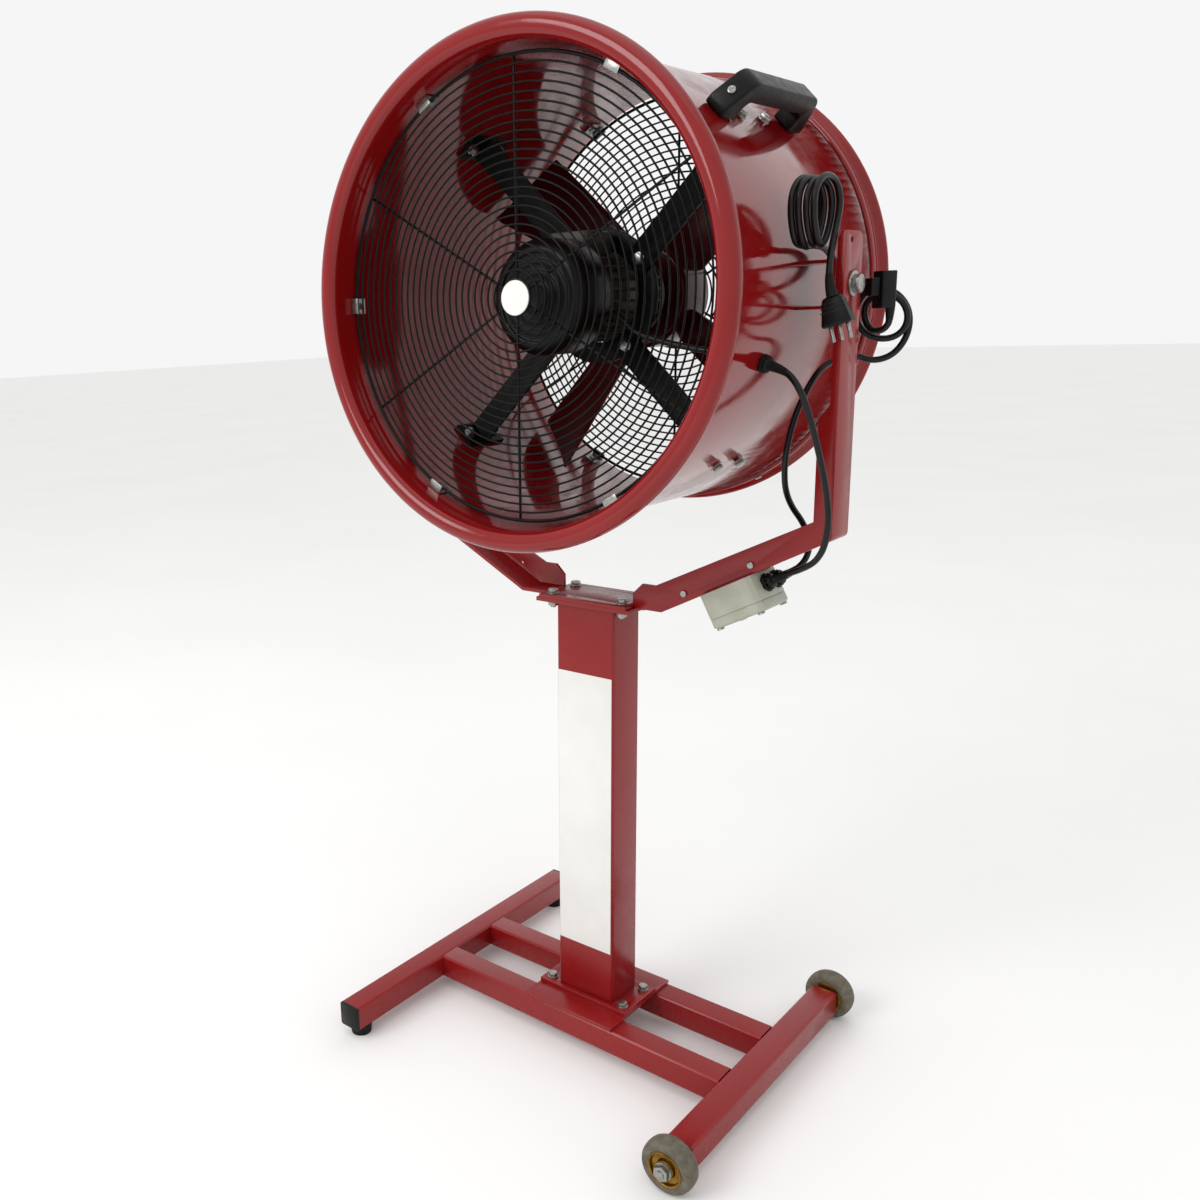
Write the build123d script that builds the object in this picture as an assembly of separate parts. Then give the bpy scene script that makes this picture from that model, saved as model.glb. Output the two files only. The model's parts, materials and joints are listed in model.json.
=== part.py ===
from build123d import *
import math
import os

# A drum fan on a wheeled column stand.
# Frame: origin on the column's axis at the floor, +X along the rails towards the wheels,
# -Y towards the mouth of the drum, +Z up. Millimetres.

# ---- base ----
TUBE = 40.0                  # square base tube, outside
TUBE_WALL = 2.5
TUBE_CORNER = 3.0            # flat across each outer corner
WHEEL_D = 75.0
AXLE_Z = WHEEL_D / 2         # the tubes' centre height is the axle height
BAR_X = 278.0                # foot bar at -X, wheel bar at +X
FOOT_BAR_LENGTH = 574.0      # bare tube, without its caps
WHEEL_BAR_LENGTH = 455.0
BAR_END_PLATE = 5.0          # plates that close the wheel bar
RAIL_Y = 65.0
CAP_FLANGE = 3.0
CAP_PLUG = 14.0
CAP_FIT = 0.2
FOOT_TOP_D = 36.0
FOOT_BOTTOM_D = 32.0
FOOT_INSET = 22.0            # from the tube's end to the foot's centre
BASE_PLATE = (160.0, 172.0, 5.0)

# ---- wheels ----
WHEEL_Y = 250.0
WHEEL_WIDTH = 30.0
TYRE_CROWN = 3.5
HUB_D = 49.0
HUB_RECESS = 6.0
HUB_BOSS_D = 24.0
AXLE_D = 12.0
AXLE_COLLAR_D = 20.0
RUN_GAP = 0.05               # radial, a wheel or shaft on its bearing
SIDE_GAP = 0.3               # between faces that turn past each other

# ---- column ----
FLANGE_PLATE = (160.0, 90.0, 6.0)
COLUMN_X = 100.0
COLUMN_Y = 70.0
COLUMN_WALL = 3.0
COLUMN_CORNER = 3.0
COLUMN_LENGTH = 633.5
LABEL = (98.0, 0.6, 446.0)
LABEL_Z = 152.0
FOOT_BOLTS = (66.0, 30.0)
TOP_BOLTS = (60.0, 29.5)
CABLE_HOLE_D = 11.0

# ---- fasteners, M8 ----
BOLT_D = 8.0
BOLT_HOLE = 8.6
BOLT_AF = 13.0
BOLT_HEAD = 5.3
NUT_H = 6.5
WASHER_D = 17.0
WASHER_T = 1.6
SCREW_D = 5.0
SCREW_HEAD_D = 10.0
SCREW_HEAD = 2.6

# ---- yoke ----
SHEET = 5.0
PAD = (150.0, 90.0)
ARM_WIDTH = 50.0
ARM_GAP = 57.0               # from the drum's wall to the outer face of the upright
ARM_BEND_X = 120.8
ARM_TOP_RISE = 60.0          # top of the upright above the pivot
SLOPE_RISE = 125.5
DRUM_OVER_PAD = 127.0        # from the yoke's pad to the drum's wall
PIVOT_D = 12.0
PIVOT_AF = 19.0
PIVOT_HEAD = 8.0
PIVOT_WASHER_D = 30.0
PIVOT_WASHER = 2.5
TIE_HOLE_D = 7.0
TIE_HOLE_Y = -8.0
TIE_HOLE_DROP = 10.0         # below the arm's top
RIVET_GAP = 0.3

# ---- control box, under the sloping part of the right arm ----
BOX_START = 73.0
BOX_LENGTH = 80.0
BOX_WIDTH = 80.0
BOX_DEPTH = 36.0
BOX_LID = 14.0
BOX_WALL = 3.0
BOX_CORNER = 6.0
GLAND_D = 22.0
GLAND_LENGTH = 14.0
GLAND_DROP = 17.0
MOTOR_GLAND_Y = -5.0
MAINS_GLAND_Y = 22.0
PLUG_D = 16.0

# ---- drum ----
DRUM_R = 300.0
DRUM_WALL = 3.0
DRUM_LENGTH = 462.0
LIP_R = 14.2                 # outside radius of the rolled lip's section
LIP_SWEEP = 235.0            # degrees of roll
LIP_STEPS = 5
HOOP_LENGTH = 37.0
HOOP_WALL = 2.5
HOOP_FLARE = 13.0            # how far the hoop's lip stands out
FIT = 0.3                    # a seated piece that is not welded
ARM_X = DRUM_R + ARM_GAP
BRACKET = (50.0, 57.0, 4.0)  # width, height, sheet

# ---- guards ----
GUARD_WIRE = 3.0
GUARD_RINGS = 7
GUARD_SIDES = 24
GUARD_CENTRE_R = 24.0
FRONT_GUARD_DEPTH = 42.0
REAR_GUARD_DEPTH = DRUM_LENGTH - 16.0
GUARD_EDGE_GAP = 7.0
SPOKES = 6
SPOKE_WIDTH = 5.0
SPOKE_START = 30.0           # degrees, the first spoke
BADGE_D = 44.0
BADGE_T = 1.5
CLIP_WIDTH = 22.0
CLIP_SHEET = 2.5
CLIP_REACH = 13.0
CLIP_LEG = 24.0
CLIP_ANGLES = (0.0, 60.0, 120.0, 180.0, 240.0, 300.0)

# ---- struts and motor ----
STRUT_WIDTH = 38.0
STRUT_T = 5.0
STRUT_OFFSET = 14.0          # centreline beside the radius, clockwise from the front
STRUT_DEPTH = DRUM_LENGTH / 2 - 3.0    # depth of the front face behind the mouth
STRUT_TAB = (82.0, 40.0)
STRUT_BOLT_STEP = 60.0
MOTOR_R = 62.0               # over the fins
MOTOR_CORE_R = MOTOR_R - 8.0
STRUT_INNER = MOTOR_R + 4.0
MOUNT_RING_R = MOTOR_R + 30.0
MOUNT_BOLT_R = MOTOR_R + 18.0
MOUNT_RING_T = 6.0
FINS = 24
FIN_T = 3.4
MOTOR_LENGTH = 150.0
MOTOR_DEPTH = STRUT_DEPTH - 78.0       # depth of the finned body's front end
COWL_R = MOTOR_R + 13.0
COWL_FRONT_R = MOTOR_R
COWL_LENGTH = 66.0
SHIELD_R = MOTOR_R - 2.0
SHIELD_LENGTH = 22.0
SHIELD_EDGE = 9.0
SHAFT_D = 19.0
TERMINAL_BOX = (60.0, 67.0, 32.0)
ENTRY_ANGLE = -20.0          # where the cable enters the motor
ENTRY_D = 16.0
ENTRY_R = MOTOR_R + 8.0
ENTRY_INSET = 3.0

# ---- impeller ----
HUB_R = 75.0
HUB_DEPTH = MOTOR_DEPTH + MOTOR_LENGTH + SHIELD_LENGTH + 18.0
HUB_LENGTH = 65.0
HUB_WALL = 4.0
BLADES = 4
BLADE_ANGLE = 49.5
BLADE_T = 3.0
BLADE_DEPTH = HUB_DEPTH + 32.0         # depth of the blades' middle
TIP_GAP = 8.0
BLADE_PITCH = 30.0
BLADE_CHORD = 160.0
BLADE_CAMBER = 14.0
BLADE_ROOT = 58.0            # across the root, seen along the axis
BLADE_TIP = 112.0
BLADE_SWEEP = 18.0

# ---- carry handle ----
HANDLE_ANGLE = 42.3
HANDLE_LENGTH = 210.0
HANDLE_SHIFT = 5.0
HANDLE_WIDTH = 30.0
HANDLE_RISE = 50.0
GRIP_T = 25.0
HANDLE_FOOT = 34.0
HANDLE_EDGE = 12.0           # height of the foot's edge
HANDLE_TAPER = 22.0          # how far each end leans in
HANDLE_SCREW_AT = 0.4        # of the way up the sloping end

# ---- cables ----
CABLE_D = 8.0
GROMMET_ANGLE = -17.0
GROMMET_Y = -85.0
GROMMET_D = 22.0
GROMMET_RISE = 12.0
GROMMET_TAIL = 7.0
HANK_Y = -42.0
HANK_RISE = 82.0             # its middle above the pivot
HANK_R = 36.0
HANK_X = ARM_X - 49.0        # first loop
HANK_PITCH = 8.9
HANK_TURNS = 3.875
PLUG_SIZE = (36.0, 24.0, 34.0)
PIN_D = 4.8
PIN_LENGTH = 18.0
PIN_STEP = 10.0
JOINER = (21.0, 21.0, 44.0)
JOINER_NECK = (14.0, 11.0, 21.0)
JOINER_TURN = -30.3

ROUND_SIDES = 28             # sides of the smaller round castings
TINY = 0.1                   # tolerance when edges are picked by place


# ---------------------------------------------------------------- helpers
def block(x, y, z):
    """A box from three (low, high) pairs."""
    middle = [(low + high) / 2 for low, high in (x, y, z)]
    sizes = [high - low for low, high in (x, y, z)]
    return Pos(*middle) * Box(*sizes)


def both_sides(part):
    """The part and its copy turned half round the column."""
    return [part, Rot(0, 0, 180) * part]


def rod(radius, start, end):
    """A round bar between two points."""
    along = Vector(*end) - Vector(*start)
    return extrude(Plane(origin=start, z_dir=along) * Circle(radius), along.length)


def hole(radius, start, end, sides=8):
    """A few-sided cutter for a plain hole between two points."""
    along = Vector(*end) - Vector(*start)
    return extrude(Plane(origin=start, z_dir=along) * RegularPolygon(radius, sides), along.length)


def tube_between(start, end, across, size, wall, corner):
    """A rectangular tube; size is (along across, along the third axis)."""
    along = Vector(*end) - Vector(*start)
    outer = cut_corner(size[0], size[1], corner)
    inner = Rectangle(size[0] - 2 * wall, size[1] - 2 * wall)
    return extrude(Plane(origin=start, x_dir=across, z_dir=along) * (outer - inner), along.length)


def cut_corner(x, y, corner):
    """A rectangle with its corners cut off."""
    outline = Rectangle(x, y)
    return chamfer(outline.vertices(), corner)


def stud(radius, start, end, sides=8):
    """A fastener's shank or washer between two heights, with few sides."""
    disc = extrude(RegularPolygon(radius, sides, major_radius=True), end - start)
    return Pos(0, 0, start) * disc


def spun(points):
    """A turned piece from (radius, height) points about Z."""
    outline = make_face(Plane.XZ * Polyline(*points, close=True))
    return revolve(outline, Axis.Z, 360)


def hexagon(af, height):
    return extrude(RegularPolygon(af / 2, 6, major_radius=False), height)


def hex_bolt(grip):
    """An M8 bolt with its nut: seat of the head at z=0, seat of the nut at z=-grip."""
    low = -grip - WASHER_T
    bolt = Pos(0, 0, WASHER_T) * hexagon(BOLT_AF, BOLT_HEAD)
    bolt += stud(WASHER_D / 2, 0, WASHER_T)
    bolt += stud(BOLT_D / 2, low - NUT_H - 2, WASHER_T, 6)
    bolt += Pos(0, 0, low - NUT_H) * hexagon(BOLT_AF, NUT_H)
    return bolt + stud(WASHER_D / 2, low, -grip)


def screw_head(radius=SCREW_HEAD_D / 2, height=SCREW_HEAD, sides=6):
    """A low domed head with its seat at z=0."""
    head = stud(radius, 0, height, sides)
    return chamfer(head.faces().sort_by(Axis.Z)[-1].edges(), height * 0.6)


def facet_ring(radius, bore, length, sides=ROUND_SIDES):
    """A many-sided disc or ring from z=0 up; bore 0 leaves it solid."""
    outline = RegularPolygon(radius, sides)
    if bore:
        outline -= RegularPolygon(bore, sides)
    return extrude(outline, length)


def corners(spread):
    return [(i * spread[0], j * spread[1]) for i in (-1, 1) for j in (-1, 1)]


PARTS = {}


def keep(name, *solids):
    """File the solids of one node."""
    PARTS[name] = solids[0] if len(solids) == 1 else Compound(children=list(solids))


# ---------------------------------------------------------------- base
TUBE_LOW = AXLE_Z - TUBE / 2
TUBE_TOP = AXLE_Z + TUBE / 2


def square_tube(start, end):
    """A base tube at axle height between two (x, y) points."""
    across = (end[1] - start[1], start[0] - end[0], 0)
    return tube_between((*start, AXLE_Z), (*end, AXLE_Z), across, (TUBE, TUBE), TUBE_WALL, TUBE_CORNER)


def base():
    half = FOOT_BAR_LENGTH / 2
    keep("foot_bar", square_tube((-BAR_X, -half), (-BAR_X, half)))
    half = WHEEL_BAR_LENGTH / 2
    inner = half - BAR_END_PLATE
    bar = square_tube((BAR_X, -inner), (BAR_X, inner))
    plate = extrude(cut_corner(TUBE, TUBE, TUBE_CORNER), BAR_END_PLATE)
    for y in (-half, inner):
        bar += Plane(origin=(BAR_X, y, AXLE_Z), x_dir=(1, 0, 0), z_dir=(0, 1, 0)).location * plate
    keep("wheel_bar", bar)
    reach = BAR_X - TUBE / 2
    keep("base_rails", *[square_tube((-reach, y), (reach, y)) for y in (-RAIL_Y, RAIL_Y)])
    keep("bar_end_caps", *[end_cap(side) for side in (-1, 1)])
    keep("rubber_feet", *[rubber_foot(side) for side in (-1, 1)])


def end_cap(side):
    """A push-in cap on one end of the foot bar."""
    bore = TUBE - 2 * TUBE_WALL - 2 * CAP_FIT
    cap = extrude(cut_corner(TUBE, TUBE, TUBE_CORNER), CAP_FLANGE)
    cap += Pos(0, 0, -CAP_PLUG) * extrude(Rectangle(bore, bore), CAP_PLUG)
    at = Plane(origin=(-BAR_X, side * FOOT_BAR_LENGTH / 2, AXLE_Z), x_dir=(1, 0, 0), z_dir=(0, side, 0))
    return at.location * cap


def rubber_foot(side):
    """A tapered foot under the foot bar."""
    foot = facet_ring(FOOT_TOP_D / 2, 0, TUBE_LOW, 20)
    foot = chamfer(foot.faces().sort_by(Axis.Z)[0].edges(), TUBE_LOW - 4, (FOOT_TOP_D - FOOT_BOTTOM_D) / 2)
    return Pos(-BAR_X, side * (FOOT_BAR_LENGTH / 2 - FOOT_INSET), 0) * foot


def wheel(side):
    """Tyre and hub of one wheel, on the Y axis at axle height."""
    half = WHEEL_WIDTH / 2
    flat = half / 3
    bore = AXLE_D / 2 + RUN_GAP
    rim = HUB_D / 2
    edge = WHEEL_D / 2 - TYRE_CROWN
    top = WHEEL_D / 2
    tyre = Pos(0, 0, -half) * facet_ring(top, rim, WHEEL_WIDTH)
    outer = tyre.edges().filter_by(lambda e: Vector(e.center().X, e.center().Y).length > edge)
    shoulders = outer.filter_by(lambda e: abs(e.center().Z) > half - TINY)
    tyre = chamfer(shoulders, TYRE_CROWN, half - flat)
    web = half - HUB_RECESS
    hub = Pos(0, 0, -half) * facet_ring(rim, 0, WHEEL_WIDTH)
    hub -= Pos(0, 0, web) * facet_ring(rim - 3, HUB_BOSS_D / 2, HUB_RECESS)
    hub -= rod(bore, (0, 0, -half), (0, 0, half))
    at = Plane(origin=(BAR_X, side * WHEEL_Y, AXLE_Z), x_dir=(1, 0, 0), z_dir=(0, side, 0)).location
    return at * tyre, at * hub


def axle(side):
    """A stub axle welded to the wheel bar's end, with its nut and washer."""
    start = WHEEL_BAR_LENGTH / 2
    hub_in = WHEEL_Y - WHEEL_WIDTH / 2 - SIDE_GAP
    hub_out = WHEEL_Y + WHEEL_WIDTH / 2 + SIDE_GAP
    pin = rod(AXLE_D / 2, (0, 0, start), (0, 0, hub_out + 12))
    pin += stud(AXLE_COLLAR_D / 2, start, hub_in, 12)
    pin += stud(AXLE_COLLAR_D / 2 + 2, hub_out, hub_out + 2, 12)
    pin += Pos(0, 0, hub_out + 2) * hexagon(PIVOT_AF, PIVOT_HEAD)
    at = Plane(origin=(BAR_X, 0, AXLE_Z), x_dir=(1, 0, 0), z_dir=(0, side, 0)).location
    return at * pin


def wheels():
    for side, name in ((-1, "front"), (1, "rear")):
        tyre, hub = wheel(side)
        keep("wheel_tyre_" + name, tyre)
        keep("wheel_hub_" + name, hub)
    keep("wheel_axles", axle(-1), axle(1))


# ---------------------------------------------------------------- column
PLATE_TOP = TUBE_TOP + BASE_PLATE[2]
COLUMN_LOW = PLATE_TOP + FLANGE_PLATE[2]
COLUMN_TOP = COLUMN_LOW + COLUMN_LENGTH
PAD_LOW = COLUMN_TOP + FLANGE_PLATE[2]
PAD_TOP = PAD_LOW + SHEET
PIVOT_Z = PAD_TOP + DRUM_R + DRUM_OVER_PAD
JOINER_AT = (ARM_X + 13.4, 64.4, PIVOT_Z - 7.8)


def drilled(size, low, spread, hole_d, centre_d):
    """A plate on its low face with four bolt holes and an optional centre hole."""
    plate = extrude(Rectangle(size[0], size[1]), size[2])
    for x, y in corners(spread):
        plate -= Pos(x, y, 0) * stud(hole_d / 2, 0, size[2])
    if centre_d:
        plate -= stud(centre_d / 2, 0, size[2])
    return Pos(0, 0, low) * plate


def column():
    keep("base_plate", drilled(BASE_PLATE, TUBE_TOP, FOOT_BOLTS, BOLT_HOLE, 0))
    foot = drilled(FLANGE_PLATE, PLATE_TOP, FOOT_BOLTS, BOLT_HOLE, 0)
    top = drilled(FLANGE_PLATE, COLUMN_TOP, TOP_BOLTS, BOLT_HOLE, CABLE_HOLE_D)
    keep("column_plates", foot, top)
    low, high = (0, 0, COLUMN_LOW), (0, 0, COLUMN_TOP)
    keep("column", tube_between(low, high, (1, 0, 0), (COLUMN_X, COLUMN_Y), COLUMN_WALL, COLUMN_CORNER))
    face = -COLUMN_Y / 2
    half = min(LABEL[0], COLUMN_X - 2 * COLUMN_CORNER) / 2
    panel = block((-half, half), (face - LABEL[1], face), (LABEL_Z, LABEL_Z + LABEL[2]))
    keep("column_label", panel)
    grip = BASE_PLATE[2] + FLANGE_PLATE[2]
    keep("base_bolts", *[Pos(x, y, COLUMN_LOW) * hex_bolt(grip) for x, y in corners(FOOT_BOLTS)])


# ---------------------------------------------------------------- yoke
ARM_LOW = PAD_LOW
ARM_KNEE_Z = ARM_LOW + SLOPE_RISE
ARM_TOP = PIVOT_Z + ARM_TOP_RISE
SLOPE_ANGLE = math.degrees(math.atan2(SLOPE_RISE, ARM_X - ARM_BEND_X))
SLOPE = Plane(
    origin=(ARM_BEND_X, 0, ARM_LOW),
    x_dir=(math.cos(math.radians(SLOPE_ANGLE)), 0, math.sin(math.radians(SLOPE_ANGLE))),
    z_dir=(math.sin(math.radians(SLOPE_ANGLE)), 0, -math.cos(math.radians(SLOPE_ANGLE))),
)
RIVET_SPOTS = (45.5, 154.7)   # along the slope
RIVET_RISE = 11.5


def on_slope(along, y, below):
    """A point given by its distance along the sloping web, its y and its depth under the web."""
    point = SLOPE.origin + SLOPE.x_dir * along + SLOPE.z_dir * below
    return (point.X, y, point.Z)


def rivet_centres():
    return [on_slope(along, 0, -RIVET_RISE) for along in RIVET_SPOTS]


def inset_web():
    """Inner bend points of the web, one sheet thickness inside the outer ones."""
    half = math.radians(SLOPE_ANGLE / 2)
    knee = math.radians((90 - SLOPE_ANGLE) / 2)
    first = (ARM_BEND_X - SHEET * math.tan(half), ARM_LOW + SHEET)
    second = (ARM_X - SHEET, ARM_KNEE_Z + SHEET * math.tan(knee))
    return first, second


def arm():
    """The right arm: a bent web with a flange along its front edge, all in one sheet."""
    start = PAD[0] / 2
    bend = (ARM_BEND_X, ARM_LOW)
    knee = (ARM_X, ARM_KNEE_Z)
    first, second = inset_web()
    outer = [(start, ARM_LOW), bend, knee, (ARM_X, ARM_TOP)]
    web = Polygon(*outer, (ARM_X - SHEET, ARM_TOP), second, first, (start, ARM_LOW + SHEET), align=None)
    inner = [
        (ARM_X - SHEET, ARM_TOP), (ARM_X - 2 * SHEET, ARM_TOP - 8), (ARM_X - 2 * SHEET, PIVOT_Z - 142),
        (ARM_X - 24, PIVOT_Z - 158), (ARM_X - 24, ARM_KNEE_Z + 21.5), (ARM_BEND_X - 10, ARM_LOW + 37),
        (start + 15, ARM_LOW + 37), (start, ARM_LOW + 22),
    ]
    flange = Polygon(*outer, *inner, align=None)
    half = ARM_WIDTH / 2
    front = Plane(origin=(0, 0, 0), x_dir=(1, 0, 0), z_dir=(0, -1, 0))
    body = extrude(front * web, half, both=True)
    body += extrude(Pos(0, -half + SHEET, 0) * (front * flange), SHEET)
    bend_at = Vector(ARM_X, 0, ARM_KNEE_Z)
    bends = body.edges().filter_by(Axis.Y)
    bends = bends.filter_by(lambda e: (Vector(e.center().X, 0, e.center().Z) - bend_at).length < TINY)
    body = fillet(bends, 8)
    corner = Vector(0, half, ARM_TOP)
    top = body.edges().filter_by(Axis.X)
    top = top.filter_by(lambda e: (Vector(0, e.center().Y, e.center().Z) - corner).length < TINY)
    body = fillet(top, 12)
    body -= rod(PIVOT_D / 2 + RUN_GAP, (ARM_X - 3 * SHEET, 0, PIVOT_Z), (ARM_X + SHEET, 0, PIVOT_Z))
    tie_z = ARM_TOP - TIE_HOLE_DROP
    inside, outside = ARM_X - 2 * SHEET, ARM_X + SHEET
    body -= hole(TIE_HOLE_D / 2, (inside, TIE_HOLE_Y, tie_z), (outside, TIE_HOLE_Y, tie_z), 12)
    for x, _, z in rivet_centres():
        body -= hole(SCREW_D / 2 + RIVET_GAP, (x, -half - 1, z), (x, -half + SHEET + 1, z))
    return body


def yoke():
    pad = drilled((PAD[0], PAD[1], SHEET), PAD_LOW, TOP_BOLTS, BOLT_HOLE, 0)
    keep("yoke_pad", pad)
    right = arm()
    keep("yoke_arm_right", right)
    keep("yoke_arm_left", Rot(0, 0, 180) * right)
    grip = FLANGE_PLATE[2] + SHEET
    keep("yoke_bolts", *[Pos(x, y, PAD_TOP) * hex_bolt(grip) for x, y in corners(TOP_BOLTS)])


# ---------------------------------------------------------------- control box
def box_rivet(x, z):
    """A rivet through the arm's front flange into the box's mounting lug."""
    front = -ARM_WIDTH / 2
    tail = SCREW_HEAD_D / 2 - 1.5
    rivet = screw_head() + stud(SCREW_D / 2, -SHEET, 0.5) + stud(tail, -SHEET - 1.5, -SHEET)
    return Plane(origin=(x, front, z), x_dir=(1, 0, 0), z_dir=(0, -1, 0)).location * rivet


def gland(along, y):
    """A domed gland on the box's upper end, facing along the slope."""
    dome = hexagon(GLAND_D, 5) + stud(GLAND_D / 2 - 1.5, 0, GLAND_LENGTH, 12)
    dome = chamfer(dome.faces().sort_by(Axis.Z)[-1].edges(), 1.8)
    at = Plane(origin=on_slope(along, y, GLAND_DROP), x_dir=(0, 1, 0), z_dir=SLOPE.x_dir).location
    return at * dome


def control_box():
    middle = BOX_START + BOX_LENGTH / 2
    outline = Pos(middle, 0, 0) * cut_corner(BOX_LENGTH, BOX_WIDTH, BOX_CORNER)
    hollow = cut_corner(BOX_LENGTH - 2 * BOX_WALL, BOX_WIDTH - 2 * BOX_WALL, BOX_WALL)
    inside = Pos(middle, 0, BOX_WALL) * hollow
    body = extrude(outline, BOX_DEPTH) - extrude(inside, BOX_DEPTH)
    keep("control_box", SLOPE.location * body)
    lid = Pos(0, 0, BOX_DEPTH) * extrude(outline, BOX_LID)
    lid = chamfer(lid.faces().sort_by(Axis.Z)[-1].edges(), 3)
    keep("control_box_lid", SLOPE.location * lid)
    spread = (BOX_LENGTH / 2 - 8, BOX_WIDTH / 2 - 8)
    top = BOX_DEPTH + BOX_LID
    screws = [SLOPE.location * Pos(middle + x, y, top) * screw_head() for x, y in corners(spread)]
    keep("lid_screws", *screws)
    keep("box_rivets", *[box_rivet(x, z) for x, _, z in rivet_centres()])
    end = BOX_START + BOX_LENGTH
    keep("cable_glands", gland(end, MOTOR_GLAND_Y), gland(end, MAINS_GLAND_Y))
    plug = screw_head(PLUG_D / 2, 4.5, 12)
    spot = on_slope(BOX_START, MOTOR_GLAND_Y, GLAND_DROP)
    at = Plane(origin=spot, x_dir=(0, 1, 0), z_dir=-SLOPE.x_dir).location
    keep("box_blanking_plug", at * plug)


# ---------------------------------------------------------------- drum
# Drum frame: +z out of the mouth, x to the right and y up seen from the front, mouth plane at z=0.
FAN = Plane(origin=(0, -DRUM_LENGTH / 2, PIVOT_Z), x_dir=(1, 0, 0), z_dir=(0, -1, 0)).location
DRUM_BORE_R = DRUM_R - DRUM_WALL
LIP_CENTRE_R = DRUM_BORE_R + LIP_R


def turned(points):
    """A turned piece from (radius, depth behind the mouth) points."""
    return FAN * spun([(r, -depth) for r, depth in points])


def lip_arc(radius):
    """Points round the rolled lip's section, from the wall, over the front, to the open edge."""
    points = []
    for i in range(LIP_STEPS + 1):
        a = math.radians(180 - LIP_SWEEP * i / LIP_STEPS)
        points.append((LIP_CENTRE_R + radius * math.cos(a), -LIP_R + radius * math.sin(a)))
    return points


def drum_shell():
    inside = lip_arc(LIP_R - DRUM_WALL)
    profile = [(DRUM_BORE_R, -DRUM_LENGTH)] + lip_arc(LIP_R) + inside[::-1] + [(DRUM_R, -DRUM_LENGTH)]
    shell = FAN * spun(profile)
    for start, end in strut_bolt_lines():
        shell -= hole(BOLT_HOLE / 2, start, end)
    angle = math.radians(GROMMET_ANGLE)
    out = Vector(math.cos(angle), 0, math.sin(angle))
    centre = Vector(0, GROMMET_Y, PIVOT_Z)
    shell -= hole(GROMMET_D / 2 - 3, centre + out * (DRUM_R - 20), centre + out * (DRUM_R + 20), 12)
    keep("drum_shell", shell)


def rear_hoop():
    """A pressed hoop over the drum's rear edge: a flat band, a groove and a flared lip."""
    bore = DRUM_R + FIT
    band = bore + HOOP_WALL
    start = DRUM_LENGTH - HOOP_LENGTH
    mid = DRUM_LENGTH - HOOP_LENGTH / 2
    keep("rear_hoop", turned([
        (bore, start), (band + 3, start), (band + 3, start + 14), (band, mid),
        (DRUM_R + HOOP_FLARE, DRUM_LENGTH - 8), (DRUM_R + HOOP_FLARE, DRUM_LENGTH), (bore, DRUM_LENGTH),
    ]))


def polar(radius, degrees, depth):
    """A world point from the drum's radius, angle seen from the front and depth."""
    a = math.radians(degrees)
    return (radius * math.cos(a), depth - DRUM_LENGTH / 2, PIVOT_Z + radius * math.sin(a))


def radial(degrees, depth, offset, radius):
    """A plane on the drum whose z points outwards along one angle, x to the rear."""
    a = math.radians(degrees)
    out = Vector(math.cos(a), 0, math.sin(a))
    side = Vector(-math.sin(a), 0, math.cos(a))
    origin = Vector(0, depth - DRUM_LENGTH / 2, PIVOT_Z) + out * radius + side * offset
    return Plane(origin=origin, x_dir=(0, 1, 0), z_dir=out)


STRUT_ANGLES = (45.0, 135.0, 225.0, 315.0)


def strut_bolt_lines():
    lines = []
    middle = STRUT_DEPTH + STRUT_T / 2
    for angle in STRUT_ANGLES:
        for step in (-STRUT_BOLT_STEP / 2, STRUT_BOLT_STEP / 2):
            at = radial(angle, middle + step, -STRUT_OFFSET, DRUM_R)
            lines.append((at.origin - at.z_dir * 25, at.origin + at.z_dir * 25))
    return lines


def strut(angle):
    """A flat bar from the mount ring to the drum, with a tab rolled to the drum's curve."""
    seat = DRUM_BORE_R - FIT
    inner = seat - STRUT_T
    sides = (-STRUT_OFFSET - STRUT_WIDTH / 2, -STRUT_OFFSET + STRUT_WIDTH / 2)
    bar = block((STRUT_INNER, seat), sides, (-STRUT_T, 0))
    tab = extrude(Circle(seat) - Circle(inner), STRUT_TAB[0] / 2, both=True)
    cut = (-STRUT_OFFSET - STRUT_TAB[1] / 2, -STRUT_OFFSET + STRUT_TAB[1] / 2)
    tab &= block((inner - 20, seat + 20), cut, (-STRUT_TAB[0], STRUT_TAB[0]))
    body = bar & extrude(Circle(seat), STRUT_T * 4, both=True)
    body += Pos(0, 0, -STRUT_T / 2) * tab
    body -= Pos(MOUNT_BOLT_R, -STRUT_OFFSET, -STRUT_T) * extrude(RegularPolygon(BOLT_HOLE / 2, 8), STRUT_T)
    placed = FAN * Pos(0, 0, -STRUT_DEPTH) * Rot(0, 0, angle) * body
    for start, end in strut_bolt_lines():
        placed -= hole(BOLT_HOLE / 2, start, end)
    return placed


def strut_bolts():
    """Two bolts through the wall and tab of each strut, and one into the mount ring."""
    bolts = []
    seat = DRUM_BORE_R - FIT - STRUT_T
    far = STRUT_OFFSET + WASHER_D / 2
    near = max(STRUT_OFFSET - WASHER_D / 2, 0)
    outside = math.sqrt(DRUM_R**2 - near**2)
    inside = math.sqrt(seat**2 - far**2)
    middle = STRUT_DEPTH + STRUT_T / 2
    for angle in STRUT_ANGLES:
        for step in (-STRUT_BOLT_STEP / 2, STRUT_BOLT_STEP / 2):
            at = radial(angle, middle + step, -STRUT_OFFSET, outside)
            bolts.append(at.location * hex_bolt(outside - inside))
        spot = Pos(MOUNT_BOLT_R, -STRUT_OFFSET, 0)
        bolt = hex_bolt(STRUT_T + MOUNT_RING_T)
        bolts.append(FAN * Pos(0, 0, -STRUT_DEPTH) * Rot(0, 0, angle) * spot * bolt)
    return bolts


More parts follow.
